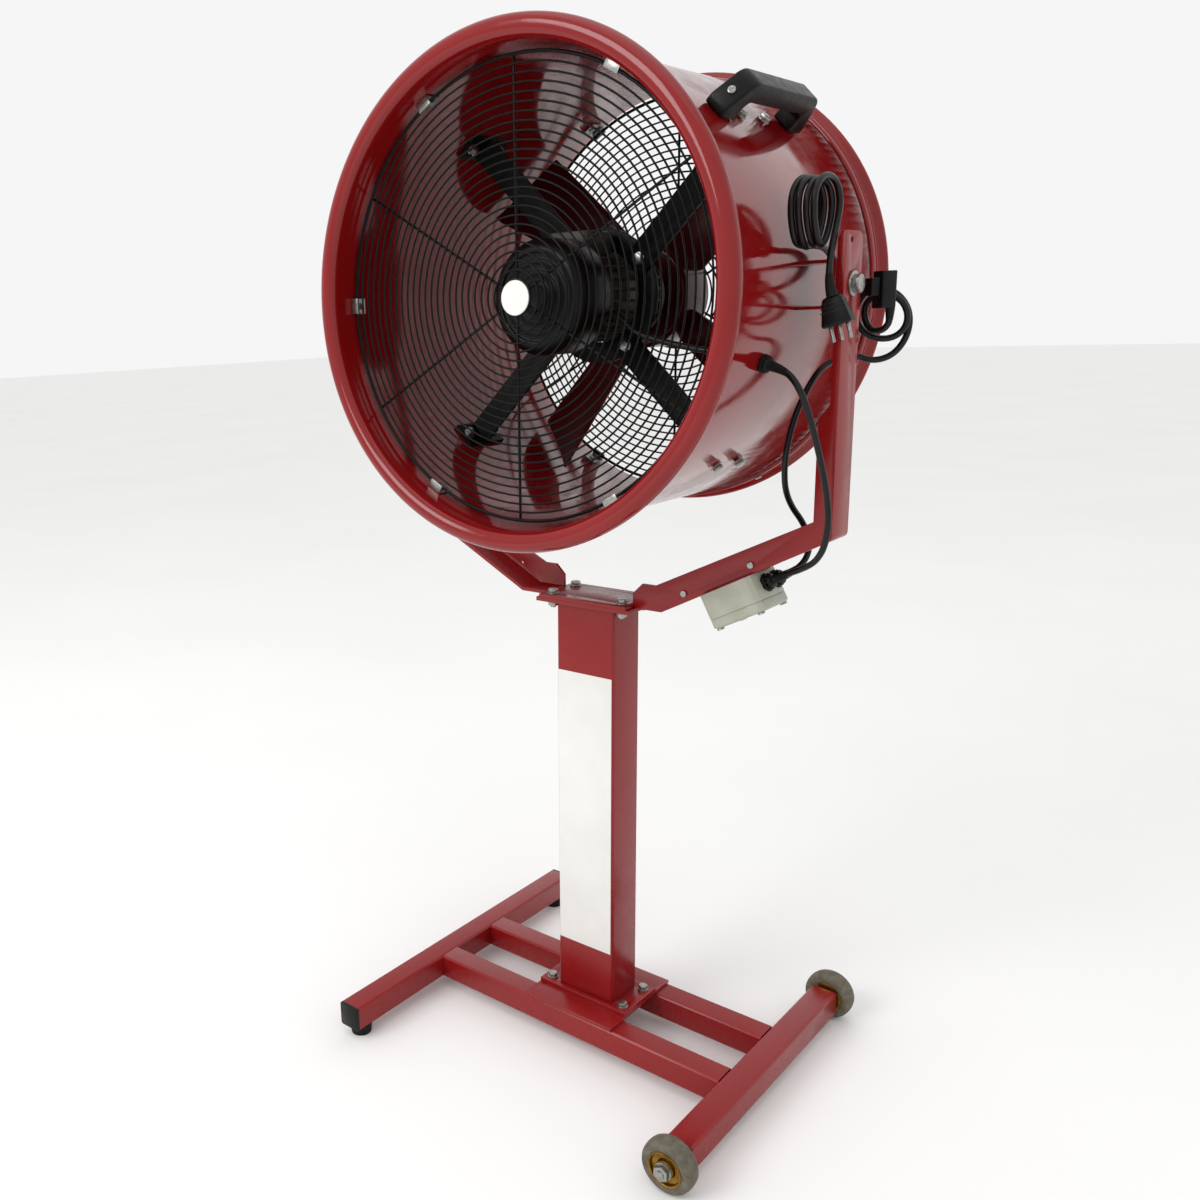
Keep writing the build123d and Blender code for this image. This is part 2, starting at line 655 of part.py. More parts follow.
def guard(depth, start_angle):
    """A grille of round rings carried on spokes, cut from one flat ring stack."""
    outer = DRUM_BORE_R - GUARD_EDGE_GAP
    pitch = (outer - GUARD_CENTRE_R) / GUARD_RINGS
    face = Sketch() + RegularPolygon(GUARD_CENTRE_R, GUARD_SIDES)
    for i in range(1, GUARD_RINGS + 1):
        edge = GUARD_CENTRE_R + i * pitch
        face += RegularPolygon(edge, GUARD_SIDES) - RegularPolygon(edge - GUARD_WIRE, GUARD_SIDES)
    for i in range(SPOKES):
        angle = start_angle + i * 360 / SPOKES
        spoke = Rot(0, 0, angle) * Pos(outer / 2, 0) * Rectangle(outer - GUARD_WIRE, SPOKE_WIDTH)
        face += spoke
    grille = extrude(face, GUARD_WIRE)
    return FAN * Pos(0, 0, -depth - GUARD_WIRE) * grille


def clip(depth, angle, facing):
    """A bent clip on the drum's wall that holds a guard's rim; facing +1 holds its front."""
    seat = DRUM_BORE_R - FIT
    half = CLIP_WIDTH / 2
    leg = extrude(Circle(seat) - Circle(seat - CLIP_SHEET), CLIP_LEG)
    foot = extrude(Circle(seat) - Circle(seat - CLIP_REACH), CLIP_SHEET)
    slice_ = block((seat - 2 * CLIP_REACH, seat + 5), (-half, half), (-2 * CLIP_LEG, 2 * CLIP_LEG))
    body = (Pos(0, 0, -CLIP_LEG) * leg + foot) & slice_
    if facing < 0:
        body = Rot(180, 0, 0) * body
    shift = -depth + FIT / 3 if facing > 0 else -depth - GUARD_WIRE - FIT / 3
    return FAN * Pos(0, 0, shift) * Rot(0, 0, angle) * body


def clip_screws():
    screws = []
    seat = DRUM_BORE_R - FIT - CLIP_SHEET
    for depth, angles in clip_rows():
        for angle in angles:
            at = radial(angle, depth, 0, seat - 0.3)
            turn = Plane(origin=at.origin, x_dir=at.x_dir, z_dir=-at.z_dir)
            screws.append(turn.location * screw_head())
    return screws


def clip_rows():
    down = CLIP_LEG * 0.6
    return ((FRONT_GUARD_DEPTH + down, CLIP_ANGLES), (REAR_GUARD_DEPTH - down + GUARD_WIRE, CLIP_ANGLES))


def guards():
    keep("front_guard", guard(FRONT_GUARD_DEPTH, SPOKE_START))
    keep("rear_guard", guard(REAR_GUARD_DEPTH, SPOKE_START))
    clips = [clip(FRONT_GUARD_DEPTH, angle, 1) for angle in CLIP_ANGLES]
    clips += [clip(REAR_GUARD_DEPTH, angle, -1) for angle in CLIP_ANGLES]
    keep("guard_clips", *clips)
    badge = extrude(RegularPolygon(BADGE_D / 2, GUARD_SIDES), BADGE_T)
    keep("guard_badge", FAN * Pos(0, 0, -FRONT_GUARD_DEPTH) * badge)


# ---------------------------------------------------------------- motor
SHAFT_BORE = SHAFT_D / 2 + RUN_GAP
MOTOR_END = MOTOR_DEPTH + MOTOR_LENGTH
SHIELD_END = MOTOR_END + SHIELD_LENGTH
SHAFT_SOCKET = 14.0


def motor_body():
    """A finned cast body: a core with axial fins all round."""
    profile = Sketch() + Circle(MOTOR_CORE_R)
    middle = (MOTOR_CORE_R + MOTOR_R) / 2 - 1
    for i in range(FINS):
        fin = Rectangle(MOTOR_R - MOTOR_CORE_R + 2, FIN_T)
        profile += Rot(0, 0, (i + 0.5) * 360 / FINS) * Pos(middle, 0) * fin
    body = extrude(profile, MOTOR_LENGTH)
    body -= extrude(Circle(SHAFT_BORE), SHAFT_SOCKET)
    body = FAN * Pos(0, 0, -MOTOR_END) * body
    entry = radial(ENTRY_ANGLE, MOTOR_DEPTH + ENTRY_D / 2 + ENTRY_INSET, 0, 0)
    return body + entry.location * stud(ENTRY_D / 2, MOTOR_CORE_R - 4, ENTRY_R, 12)


def motor():
    keep("motor_body", motor_body())
    front = MOTOR_DEPTH - COWL_LENGTH
    cowl = facet_ring(COWL_R, 0, COWL_LENGTH)
    cowl = chamfer(cowl.faces().sort_by(Axis.Z)[-1].edges(), COWL_R - COWL_FRONT_R)
    keep("motor_cowl", FAN * Pos(0, 0, -MOTOR_DEPTH) * cowl)
    shield = facet_ring(SHIELD_R, 0, SHIELD_LENGTH)
    shield = chamfer(shield.faces().sort_by(Axis.Z)[0].edges(), SHIELD_LENGTH - SHIELD_EDGE)
    shield -= rod(SHAFT_BORE, (0, 0, 0), (0, 0, SHIELD_LENGTH))
    keep("motor_end_shield", FAN * Pos(0, 0, -SHIELD_END) * shield)
    bore = RegularPolygon(MOTOR_R + FIT, ROUND_SIDES, major_radius=False)
    ring = RegularPolygon(MOUNT_RING_R, ROUND_SIDES) - bore
    for angle in STRUT_ANGLES:
        ring -= Rot(0, 0, angle) * Pos(MOUNT_BOLT_R, -STRUT_OFFSET) * RegularPolygon(BOLT_HOLE / 2, 8)
    behind = STRUT_DEPTH + STRUT_T + MOUNT_RING_T
    keep("motor_mount_ring", FAN * Pos(0, 0, -behind) * extrude(ring, MOUNT_RING_T))
    wide, long, high = TERMINAL_BOX
    top = MOTOR_CORE_R + high
    box = extrude(cut_corner(wide, long, 5), high - 4)
    at = radial(90, MOTOR_DEPTH + 6 + long / 2 + FIT, 0, MOTOR_R - 6)
    box = at.location * Rot(0, 0, 90) * box
    box -= rod(MOTOR_R + 0.1, polar(0, 0, MOTOR_DEPTH - 20), polar(0, 0, MOTOR_END))
    keep("motor_terminal_box", box)


# ---------------------------------------------------------------- impeller
def blade_planform():
    """Outline of one blade seen along the axis, root at small x: curved edges, swept tip."""
    tip = DRUM_BORE_R - TIP_GAP + 6
    root = HUB_R - 10
    half = BLADE_ROOT / 2
    middle = (root + tip) / 2
    lead = ThreePointArc((root, half), (middle, half + 22), (tip, BLADE_TIP / 2 + BLADE_SWEEP))
    trail = ThreePointArc((tip, BLADE_SWEEP - BLADE_TIP / 2), (middle, -half - 6), (root, -half))
    sides = Line(lead @ 1, trail @ 0) + Line(trail @ 1, lead @ 0)
    return make_face(lead + trail + sides)


def blade(angle):
    """A blade rolled from sheet: a curved band along the radius, trimmed to the planform."""
    pitch = math.radians(BLADE_PITCH)
    across = Vector(0, -math.cos(pitch), -math.sin(pitch))
    section = Plane(origin=(HUB_R - 12, 0, -BLADE_DEPTH), x_dir=across, z_dir=(1, 0, 0))
    half = BLADE_CHORD / 2
    t = BLADE_T / 2
    top = ThreePointArc((-half, t), (0, BLADE_CAMBER + t), (half, t))
    low = ThreePointArc((half, -t), (0, BLADE_CAMBER - t), (-half, -t))
    ends = Line((half, t), (half, -t)) + Line((-half, -t), (-half, t))
    sheet = extrude(section * make_face(top + low + ends), DRUM_R)
    tip = DRUM_BORE_R - TIP_GAP
    reach = extrude(blade_planform(), 75, both=True) & extrude(Circle(tip), 80, both=True)
    body = Rot(0, 0, angle) * (sheet & (Pos(0, 0, -BLADE_DEPTH) * reach))
    body -= Pos(0, 0, -BLADE_DEPTH - 80) * facet_ring(HUB_R, 0, 160)
    return FAN * body


def impeller():
    keep("impeller_blades", *[blade(BLADE_ANGLE + i * 360 / BLADES) for i in range(BLADES)])
    end = HUB_DEPTH + HUB_LENGTH
    bore = SHAFT_D / 2
    hub = facet_ring(HUB_R, 0, HUB_LENGTH)
    hub = chamfer(hub.faces().sort_by(Axis.Z)[-1].edges(), 6)
    hub -= facet_ring(HUB_R - HUB_WALL, 22, HUB_LENGTH - 12)
    hub -= rod(bore, (0, 0, 0), (0, 0, HUB_LENGTH))
    keep("impeller_hub", FAN * Pos(0, 0, -end) * hub)
    shaft = rod(SHAFT_D / 2, polar(0, 0, MOTOR_END - SHAFT_SOCKET + 2), polar(0, 0, end - 4))
    keep("motor_shaft", shaft)


# ---------------------------------------------------------------- pivots
def pivot_bracket():
    """A channel welded to the drum's right side, web against the arm."""
    wide, high, sheet = BRACKET
    outside = ARM_X - 2 * SHEET - SIDE_GAP
    body = block((DRUM_R - 20, outside), (-wide / 2, wide / 2), (PIVOT_Z - high / 2, PIVOT_Z + high / 2))
    inner = (PIVOT_Z - high / 2 + sheet, PIVOT_Z + high / 2 - sheet)
    body -= block((DRUM_R - 30, outside - sheet), (-wide, wide), inner)
    body -= rod(DRUM_R, polar(0, 0, 0), polar(0, 0, DRUM_LENGTH))
    boss = Plane(origin=(outside, 0, PIVOT_Z), x_dir=(0, 1, 0), z_dir=(1, 0, 0)).location
    body += boss * stud(PIVOT_WASHER_D / 2, 0, SHEET, 16)
    body -= rod(PIVOT_D / 2 + RUN_GAP, (outside - 3 * sheet, 0, PIVOT_Z), (outside + 2 * SHEET, 0, PIVOT_Z))
    return body


def pivot_bolt():
    """The bolt that turns with the drum in the arm's hole: washer and head outside, nut inside."""
    outside = ARM_X + SIDE_GAP
    web = ARM_X - 2 * SHEET - SIDE_GAP - BRACKET[2]
    bolt = stud(PIVOT_WASHER_D / 2, outside, outside + PIVOT_WASHER, 16)
    bolt += Pos(0, 0, outside + PIVOT_WASHER) * hexagon(PIVOT_AF, PIVOT_HEAD)
    bolt += rod(PIVOT_D / 2, (0, 0, web - 12), (0, 0, outside + 1))
    bolt += Pos(0, 0, web - 10) * hexagon(PIVOT_AF, 10)
    return Plane(origin=(0, 0, PIVOT_Z), x_dir=(0, 1, 0), z_dir=(1, 0, 0)).location * bolt


def pivots():
    bracket = pivot_bracket()
    keep("pivot_bracket_right", bracket)
    keep("pivot_bracket_left", Rot(0, 0, 180) * bracket)
    keep("pivot_bolts", *both_sides(pivot_bolt()))


# ---------------------------------------------------------------- handle
def handle():
    """A moulded pull handle on two feet, on the drum's upper right."""
    half = HANDLE_LENGTH / 2
    rise = HANDLE_RISE
    gap = rise - GRIP_T
    shoulder = half - HANDLE_TAPER
    ends = [(half, -8), (half, HANDLE_EDGE), (shoulder, rise)]
    outer = Polygon(*[(-x, z) for x, z in ends], *ends[::-1], align=None)
    outer = fillet(outer.vertices().filter_by(lambda v: v.Y > rise - 1), 18)
    inner = half - HANDLE_FOOT
    window = Polygon((-inner, -10), (-inner, gap), (inner, gap), (inner, -10), align=None)
    window = fillet(window.vertices().filter_by(lambda v: v.Y > gap - 1), 9)
    side = extrude(Plane.XZ * (outer - window), HANDLE_WIDTH / 2, both=True)
    at = radial(HANDLE_ANGLE, DRUM_LENGTH / 2 + HANDLE_SHIFT, 0, DRUM_R)
    body = at.location * side
    return body - rod(DRUM_R + 0.1, polar(0, 0, 0), polar(0, 0, DRUM_LENGTH))


def handle_screws():
    """Two screws in each foot of the handle, heads on its sloping ends."""
    screws = []
    for side in (-1, 1):
        shift = side * (HANDLE_LENGTH / 2 - HANDLE_SCREW_AT * HANDLE_TAPER)
        height = HANDLE_EDGE + HANDLE_SCREW_AT * (HANDLE_RISE - HANDLE_EDGE)
        at = radial(HANDLE_ANGLE, DRUM_LENGTH / 2 + HANDLE_SHIFT + shift, 0, DRUM_R + height)
        tilt = math.degrees(math.atan2(HANDLE_RISE - HANDLE_EDGE, HANDLE_TAPER))
        screws.append(at.location * Rot(0, side * tilt, 0) * screw_head())
    return screws


def hoop_screws():
    """Screws through the rear hoop's band into the drum."""
    screws = []
    depth = DRUM_LENGTH - HOOP_LENGTH + 7
    seat = DRUM_R + FIT + HOOP_WALL + 3.4
    for i in range(6):
        at = radial(-61 + i * 60, depth, 0, seat)
        screws.append(at.location * screw_head())
    return screws


def grommet():
    """A domed rubber grommet where the motor's cable leaves the drum."""
    neck = GROMMET_D / 2 - 3.2
    dome = stud(neck, -GROMMET_TAIL, 0.4, 12) + stud(GROMMET_D / 2, 0.4, GROMMET_RISE, 12)
    dome = chamfer(dome.faces().sort_by(Axis.Z)[-1].edges(), 3)
    at = radial(GROMMET_ANGLE, GROMMET_Y + DRUM_LENGTH / 2, 0, DRUM_R)
    return at.location * dome


def drum():
    drum_shell()
    rear_hoop()
    guards()
    for number, angle in enumerate(STRUT_ANGLES, 1):
        keep(f"strut_{number}", strut(angle))
    keep("strut_bolts", *strut_bolts())
    motor()
    impeller()
    pivots()
    keep("carry_handle", handle())
    keep("drum_screws", *hoop_screws(), *handle_screws(), *clip_screws())
    keep("drum_grommet", grommet())


# ---------------------------------------------------------------- cables
CORD_SIDES = 6


def cord(name, points, diameter=CABLE_D):
    """A cable of straight runs joined by tangent arcs through the points of its route."""
    route = [Vector(*p) for p in points]
    radii = []
    for before, at, after in zip(route, route[1:], route[2:]):
        first = at - before
        second = after - at
        turn = math.radians(first.get_angle(second))
        radii.append(0.45 * min(first.length, second.length) / math.tan(turn / 2))
    path = FilletPolyline(*route, radius=radii)
    tube = sweep(cord_section(path, diameter), path=path)
    report_tube(name, path, tube, diameter, min(radii))
    return tube


def cord_section(path, diameter):
    """The tube's few-sided section at the start of its path."""
    start = Plane(origin=path @ 0, z_dir=path % 0)
    return start * RegularPolygon(diameter / 2, CORD_SIDES)


def report_tube(name, path, tube, diameter, least):
    section = CORD_SIDES / 2 * (diameter / 2) ** 2 * math.sin(2 * math.pi / CORD_SIDES)
    ideal = section * path.length
    ratio = round(tube.volume / ideal, 4)
    print(name, "length", round(path.length, 1), "least radius", round(least, 1), "volume by section", ratio)


def hank_point(turn):
    """Point and direction on the hank's centreline after a number of turns."""
    a = 2 * math.pi * turn
    z = PIVOT_Z + HANK_RISE
    point = Vector(HANK_X + HANK_PITCH * turn, HANK_Y - HANK_R * math.sin(a), z - HANK_R * math.cos(a))
    speed = 2 * math.pi * HANK_R
    way = Vector(HANK_PITCH, -speed * math.cos(a), speed * math.sin(a))
    return point, way.normalized()


def biarc(start, start_way, end, end_way):
    """Two arcs that join two points with the given directions."""
    chord = end - start
    both = start_way + end_way
    k = 2 * (1 - start_way.dot(end_way))
    cv = chord.dot(both)
    reach = (-cv + math.sqrt(cv * cv + k * chord.dot(chord))) / k
    middle = (start + start_way * reach + end - end_way * reach) * 0.5
    second_way = end - end_way * reach - middle
    return TangentArc(start, middle, tangent=start_way), TangentArc(middle, end, tangent=second_way)


def hank():
    """The wound spare length of the mains lead: one tube in side-by-side loops."""
    steps = math.ceil(HANK_TURNS * 4)
    stations = [hank_point(HANK_TURNS * i / steps) for i in range(steps + 1)]
    first, way = stations[0]
    edges = [Line(first - way * CABLE_D, first)]
    for (p, d), (q, e) in zip(stations, stations[1:]):
        edges += list(biarc(p, d, q, e))
    last, way = stations[-1]
    edges.append(Line(last, last + way * CABLE_D))
    path = Wire(edges)
    tube = sweep(cord_section(path, CABLE_D), path=path)
    report_tube("mains_hank", path, tube, CABLE_D, HANK_R)
    print("mains_hank least gap between turns", round(hank_gap(), 2))
    return tube


def hank_gap():
    """Least gap between neighbouring loops, measured on points."""
    points = [hank_point(HANK_TURNS * i / 400)[0] for i in range(401)]
    turn = int(400 / HANK_TURNS * 0.5)
    gaps = [(p - q).length for i, p in enumerate(points) for q in points[i + turn:]]
    return min(gaps) - CABLE_D


def hank_ends():
    first, way = hank_point(0)
    last, away = hank_point(HANK_TURNS)
    return first - way * CABLE_D, way, last + away * CABLE_D, away


PLUG_AXIS = Vector(0.26, 0.06, -0.96).normalized()
PLUG_TOP = Vector(ARM_X - 3, -50, PIVOT_Z - 14)


def plug():
    """A moulded three-pin plug, pins down."""
    wide, thick, long = PLUG_SIZE
    body = extrude(cut_corner(wide, thick, 6), long)
    body = chamfer(body.faces().sort_by(Axis.Z)[0].edges(), 4)
    for step in (-PIN_STEP, 0, PIN_STEP):
        body += Pos(step, 0, 0) * stud(PIN_D / 2, long - 1, long + PIN_LENGTH, 10)
    return Plane(origin=PLUG_TOP, x_dir=(0.95, 0.1, 0.26), z_dir=PLUG_AXIS).location * body


JOINER_PLANE = Plane(origin=JOINER_AT, z_dir=(0, 0, 1)).rotated((0, 0, JOINER_TURN))


def joiner_point(x, y, z):
    point = JOINER_PLANE.from_local_coords(Vector(x, y, z))
    return (point.X, point.Y, point.Z)


def joiner():
    """The moulded in-line block on the mains lead, with its neck towards the arm."""
    wide, deep, high = JOINER
    neck_wide, neck_deep, neck_high = JOINER_NECK
    body = extrude(cut_corner(wide, deep, 2), high / 2, both=True)
    side = (-wide / 2, -wide / 2 + neck_wide)
    neck = block(side, (-deep / 2 - neck_deep, -deep / 2), (-neck_high / 3, neck_high * 2 / 3))
    return JOINER_PLANE.location * (body + neck)


def by_arm(points):
    """Route points from (x inside the arm's outer face, y, z above the pivot)."""
    return [(ARM_X + x, y, PIVOT_Z + z) for x, y, z in points]


MOTOR_CABLE_ROUTE = (
    (-37, -18, -347), (-14, -33, -332), (0, -41, -308), (3, -43, -276), (-1, -45, -240),
    (-7, -55, -198), (-13, -70, -155), (-17, -84, -128), (-26, -88, -109),
)
MOTOR_LEAD_ROUTE = ((104, -74, -49), (145, -79, -60), (190, -84, -69), (232, -86, -75))
MAINS_RISE_ROUTE = (
    (-54, 30, -345), (-54, 39, -323), (-66, 41, -299), (-78, 31, -278), (-81, 17, -255), (-79, 7, -228),
    (-75, 3, -197), (-69, 8, -160), (-60, 20, -127), (-53, 38, -103), (-44, 62, -91),
)
SLACK_LOOPS_ROUTE = (
    (-26, 86.8, -87), (-7.6, 93.7, -94.9), (13, 100.4, -89.2), (26.6, 104.5, -71.9), (32, 105.5, -50),
    (29, 103.2, -29.6), (17, 98, -12.5), (0.5, 91.4, -4.6), (-15, 85, -7.3), (-25, 80.6, -22),
    (-26.8, 79.5, -40.2), (-18.3, 81.6, -57.3), (-1.6, 86.3, -67.3), (17, 92.3, -66.7), (29.6, 95.4, -55.7),
    (32.7, 95.6, -39.3), (26.4, 92, -22.3), (12, 86.2, -12.7), (-3, 80, -13), (-13, 75, -24.2),
    (-13.2, 73, -37), (-9.2, 71.5, -48.4), (-0.5, 70, -56.8), (11.8, 68.2, -57), (20, 67.1, -48.6),
    (20.5, 67, -38.4),
)
HANK_LEAD_ROUTE = ((-32, 69, 7), (-44, 64, 22), (-49, 48, 37), (-49, 26, 45.5), (-49.1, 2, 46.4))


def motor_cables():
    """The motor's cable: inside from the motor to the grommet, outside from there to the box."""
    box_end = BOX_START + BOX_LENGTH + GLAND_LENGTH
    start = on_slope(box_end, MOTOR_GLAND_Y, GLAND_DROP)
    second = on_slope(box_end + 18, MOTOR_GLAND_Y, GLAND_DROP)
    wall = radial(GROMMET_ANGLE, GROMMET_Y + DRUM_LENGTH / 2, 0, DRUM_R)
    outside = wall.origin + wall.z_dir * GROMMET_RISE
    beyond = wall.origin + wall.z_dir * (GROMMET_RISE + 19)
    route = [start, second, *by_arm(MOTOR_CABLE_ROUTE), tuple(beyond), tuple(outside)]
    keep("motor_cable", cord("motor_cable", route))
    inside = wall.origin - wall.z_dir * GROMMET_TAIL
    before = wall.origin - wall.z_dir * (GROMMET_TAIL + 17)
    entry = radial(ENTRY_ANGLE, MOTOR_DEPTH + ENTRY_D / 2 + ENTRY_INSET, 0, ENTRY_R)
    after = entry.origin + entry.z_dir * 16
    middle = [(x, y, PIVOT_Z + z) for x, y, z in MOTOR_LEAD_ROUTE]
    route = [tuple(entry.origin), tuple(after), *middle, tuple(before), tuple(inside)]
    keep("motor_lead", cord("motor_lead", route))


def mains_cables():
    """The mains lead from the box up between arm and drum to its slack loops, the hank and the plug."""
    box_end = BOX_START + BOX_LENGTH + GLAND_LENGTH
    mains = on_slope(box_end, MAINS_GLAND_Y, GLAND_DROP)
    second = on_slope(box_end + 16, MAINS_GLAND_Y, GLAND_DROP)
    loops = by_arm(SLACK_LOOPS_ROUTE)
    end = (loops[-1][0], loops[-1][1], JOINER_AT[2] - JOINER[2] / 2)
    keep("mains_lead", cord("mains_lead", [mains, second, *by_arm(MAINS_RISE_ROUTE), *loops, end]))
    keep("lead_joiner", joiner())
    first, way, last, away = hank_ends()
    keep("mains_hank", hank())
    neck_y = -(JOINER[1] + JOINER_NECK[1]) / 2
    side = joiner_point(-JOINER[0] / 2, neck_y, 4)
    out = joiner_point(-JOINER[0] / 2 - 16, neck_y, 4)
    route = [side, out, *by_arm(HANK_LEAD_ROUTE), tuple(first - way * 16), tuple(first)]
    keep("hank_lead", cord("hank_lead", route))
    bend = by_arm([(-9, -47, 18)])[0]
    over = PLUG_TOP - PLUG_AXIS * 16
    route = [tuple(last), tuple(last + away * 17), bend, tuple(over), tuple(PLUG_TOP)]
    keep("mains_tail", cord("mains_tail", route))
    keep("mains_plug", plug())


if __name__ == "__main__":
    base()
    wheels()
    column()
    yoke()
    control_box()
    drum()
    motor_cables()
    mains_cables()
    os.makedirs("parts", exist_ok=True)
    for name, shape in PARTS.items():
        export_step(shape, f"parts/{name}.step")
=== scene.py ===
# %% [markdown]
# # A drum fan on a wheeled column stand
# The fan is a steel drum about 600 mm across that tilts between the arms of a yoke.
# The yoke is bolted to a column, and the column stands on a base of square tubes with two wheels.
# The CAD model is loaded first and is never moved. The cells then add the looks of its pieces in the
# CAD model's own frame, so a piece goes where the CAD says. Blender works in metres. Most sizes are
# written in millimetres, as on a drawing, and MM turns them into metres.

# %% Load the frame
import json
import math
import bpy
from mathutils import Matrix, Vector

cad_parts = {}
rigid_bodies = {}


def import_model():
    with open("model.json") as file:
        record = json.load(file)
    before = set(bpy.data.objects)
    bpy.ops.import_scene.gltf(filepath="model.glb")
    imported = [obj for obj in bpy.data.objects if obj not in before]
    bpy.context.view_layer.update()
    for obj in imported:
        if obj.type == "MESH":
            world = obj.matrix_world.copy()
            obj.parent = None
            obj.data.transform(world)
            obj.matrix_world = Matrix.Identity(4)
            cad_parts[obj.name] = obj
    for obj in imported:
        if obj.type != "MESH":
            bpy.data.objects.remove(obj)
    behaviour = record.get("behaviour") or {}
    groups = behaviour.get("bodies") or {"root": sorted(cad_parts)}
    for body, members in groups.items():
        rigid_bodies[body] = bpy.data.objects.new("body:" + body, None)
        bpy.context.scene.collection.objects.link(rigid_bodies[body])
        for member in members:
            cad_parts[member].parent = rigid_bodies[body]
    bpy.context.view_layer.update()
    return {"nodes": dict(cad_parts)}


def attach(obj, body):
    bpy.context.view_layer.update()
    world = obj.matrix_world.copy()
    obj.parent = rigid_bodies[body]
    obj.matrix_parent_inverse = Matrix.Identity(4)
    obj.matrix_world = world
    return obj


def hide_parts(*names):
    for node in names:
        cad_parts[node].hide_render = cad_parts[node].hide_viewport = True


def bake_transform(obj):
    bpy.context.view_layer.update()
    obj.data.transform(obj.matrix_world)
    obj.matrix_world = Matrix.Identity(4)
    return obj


for thing in list(bpy.data.objects):
    bpy.data.objects.remove(thing)
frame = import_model()
MM = 0.001
PIVOT = Vector((0, 0, 1.140))      # the drum's axis runs along Y through this point

# %% [markdown]
# ## The camera
# The photograph was taken from the right of the mouth, from about the height of the drum's axis,
# looking down at the fan. The camera's place was found from the edges of the base, the column and the
# drum. It could be aimed with a constraint, but three angles keep it fixed and easy to read.

# %% Camera
CAMERA_AT = Vector((0.9157, -1.3788, 1.1141))
AZIMUTH = math.radians(43.15)
ELEVATION = math.radians(13.5)
ROLL = math.radians(-2.18)


def camera_axes():
    """The camera's right, up and back directions."""
    flat = math.cos(ELEVATION)
    back = Vector((math.sin(AZIMUTH) * flat, -math.cos(AZIMUTH) * flat, math.sin(ELEVATION)))
    right = Vector((0, 0, 1)).cross(back).normalized()
    up = back.cross(right)
    rolled = right * math.cos(ROLL) + up * math.sin(ROLL)
    return rolled, back.cross(rolled), back


bpy.ops.object.camera_add()
camera = bpy.context.object
camera.name = "camera"
camera.data.sensor_width = 36
camera.data.lens = 34.03
camera.data.shift_x = 0.1564
camera.data.shift_y = -0.004
camera.matrix_world = Matrix(camera_axes()).transposed().to_4x4()
camera.location = CAMERA_AT
bpy.context.scene.camera = camera
print("camera at", tuple(CAMERA_AT))

# %% [markdown]
# ## Helpers for materials
# Colours are written as they look on a screen, in sRGB hex, and Blender mixes light in linear
# values, so one function turns them into those. Another adds a node with its settings and links.
# The rest are the patterns that the finishes share.

# %% Material helpers


def linear(colour):
    """An sRGB hex colour as linear red, green, blue and alpha."""
    parts = [int(colour[i:i + 2], 16) / 255 for i in (1, 3, 5)]
    return (*[c / 12.92 if c <= 0.04045 else ((c + 0.055) / 1.055) ** 2.4 for c in parts], 1)


def add(tree, kind, inputs, **settings):
    """Adds a node. Inputs are constants, or sockets to link from, by name or number."""
    made = tree.nodes.new(kind)
    for name, value in settings.items():
        setattr(made, name, value)
    for name, value in inputs.items():
        if isinstance(value, bpy.types.NodeSocket):
            tree.links.new(value, made.inputs[name])
        else:
            made.inputs[name].default_value = value
    return made


def begin(name):
    """A new material: its node tree, shader and object coordinates."""
    material = bpy.data.materials.new(name)
    material.use_nodes = True
    tree = material.node_tree
    shader = tree.nodes["Principled BSDF"]
    place = add(tree, "ShaderNodeTexCoord", {}).outputs["Object"]
    return material, tree, shader, place


def grain(tree, place, size, detail=3):
    """Noise whose blotches are about size metres across."""
    inputs = {"Vector": place, "Scale": 1 / size, "Detail": detail, "Roughness": 0.55}
    return add(tree, "ShaderNodeTexNoise", inputs).outputs["Fac"]


def ramp(tree, value, low, high, start=0.3, end=0.7):
    """A value moved from start..end to low..high."""
    inputs = {"Value": value, "From Min": start, "From Max": end, "To Min": low, "To Max": high}
    return add(tree, "ShaderNodeMapRange", inputs).outputs["Result"]


def blend_colours(tree, factor, first, second):
    """Two colours mixed by a factor. Sockets 6, 7 and 2 of the node are its colours and its result."""
    mix = add(tree, "ShaderNodeMix", {0: factor, 6: first, 7: second}, data_type="RGBA")
    return mix.outputs[2]


def mottled(tree, place, size, first, second):
    """Two near colours, in hex, in blotches about size metres across."""
    return blend_colours(tree, ramp(tree, grain(tree, place, size), 0, 1), linear(first), linear(second))


def edge_highlight_mask(tree, radius):
    """1 on sharp edges and 0 on flats, for a painted edge highlight: where a rounded normal differs from
    the true one.
    """
    rounded = add(tree, "ShaderNodeBevel", {"Radius": radius}, samples=4).outputs["Normal"]
    true = add(tree, "ShaderNodeNewGeometry", {}).outputs["Normal"]
    same = add(tree, "ShaderNodeVectorMath", {0: rounded, 1: true}, operation="DOT_PRODUCT")
    return ramp(tree, same.outputs["Value"], 1, 0, 0.90, 0.99)


def bumped(tree, height, strength, distance, below=None):
    """A normal tipped by a height pattern, on top of another bump where one is given."""
    inputs = {"Height": height, "Strength": strength, "Distance": distance}
    if below is not None:
        inputs["Normal"] = below
    return add(tree, "ShaderNodeBump", inputs).outputs["Normal"]


def connect(tree, shader, colour, roughness, normal):
    """Links a finish's colour, roughness and bump to its shader."""
    for name, socket in (("Base Color", colour), ("Roughness", roughness), ("Normal", normal)):
        tree.links.new(socket, shader.inputs[name])


# %% [markdown]
# ## The cables' sheath
# The cables are sheathed in PVC, which is extruded, so it is smooth and evenly satin, with a faint
# dull bloom in blotches, as handling leaves it.

# %% Cable material


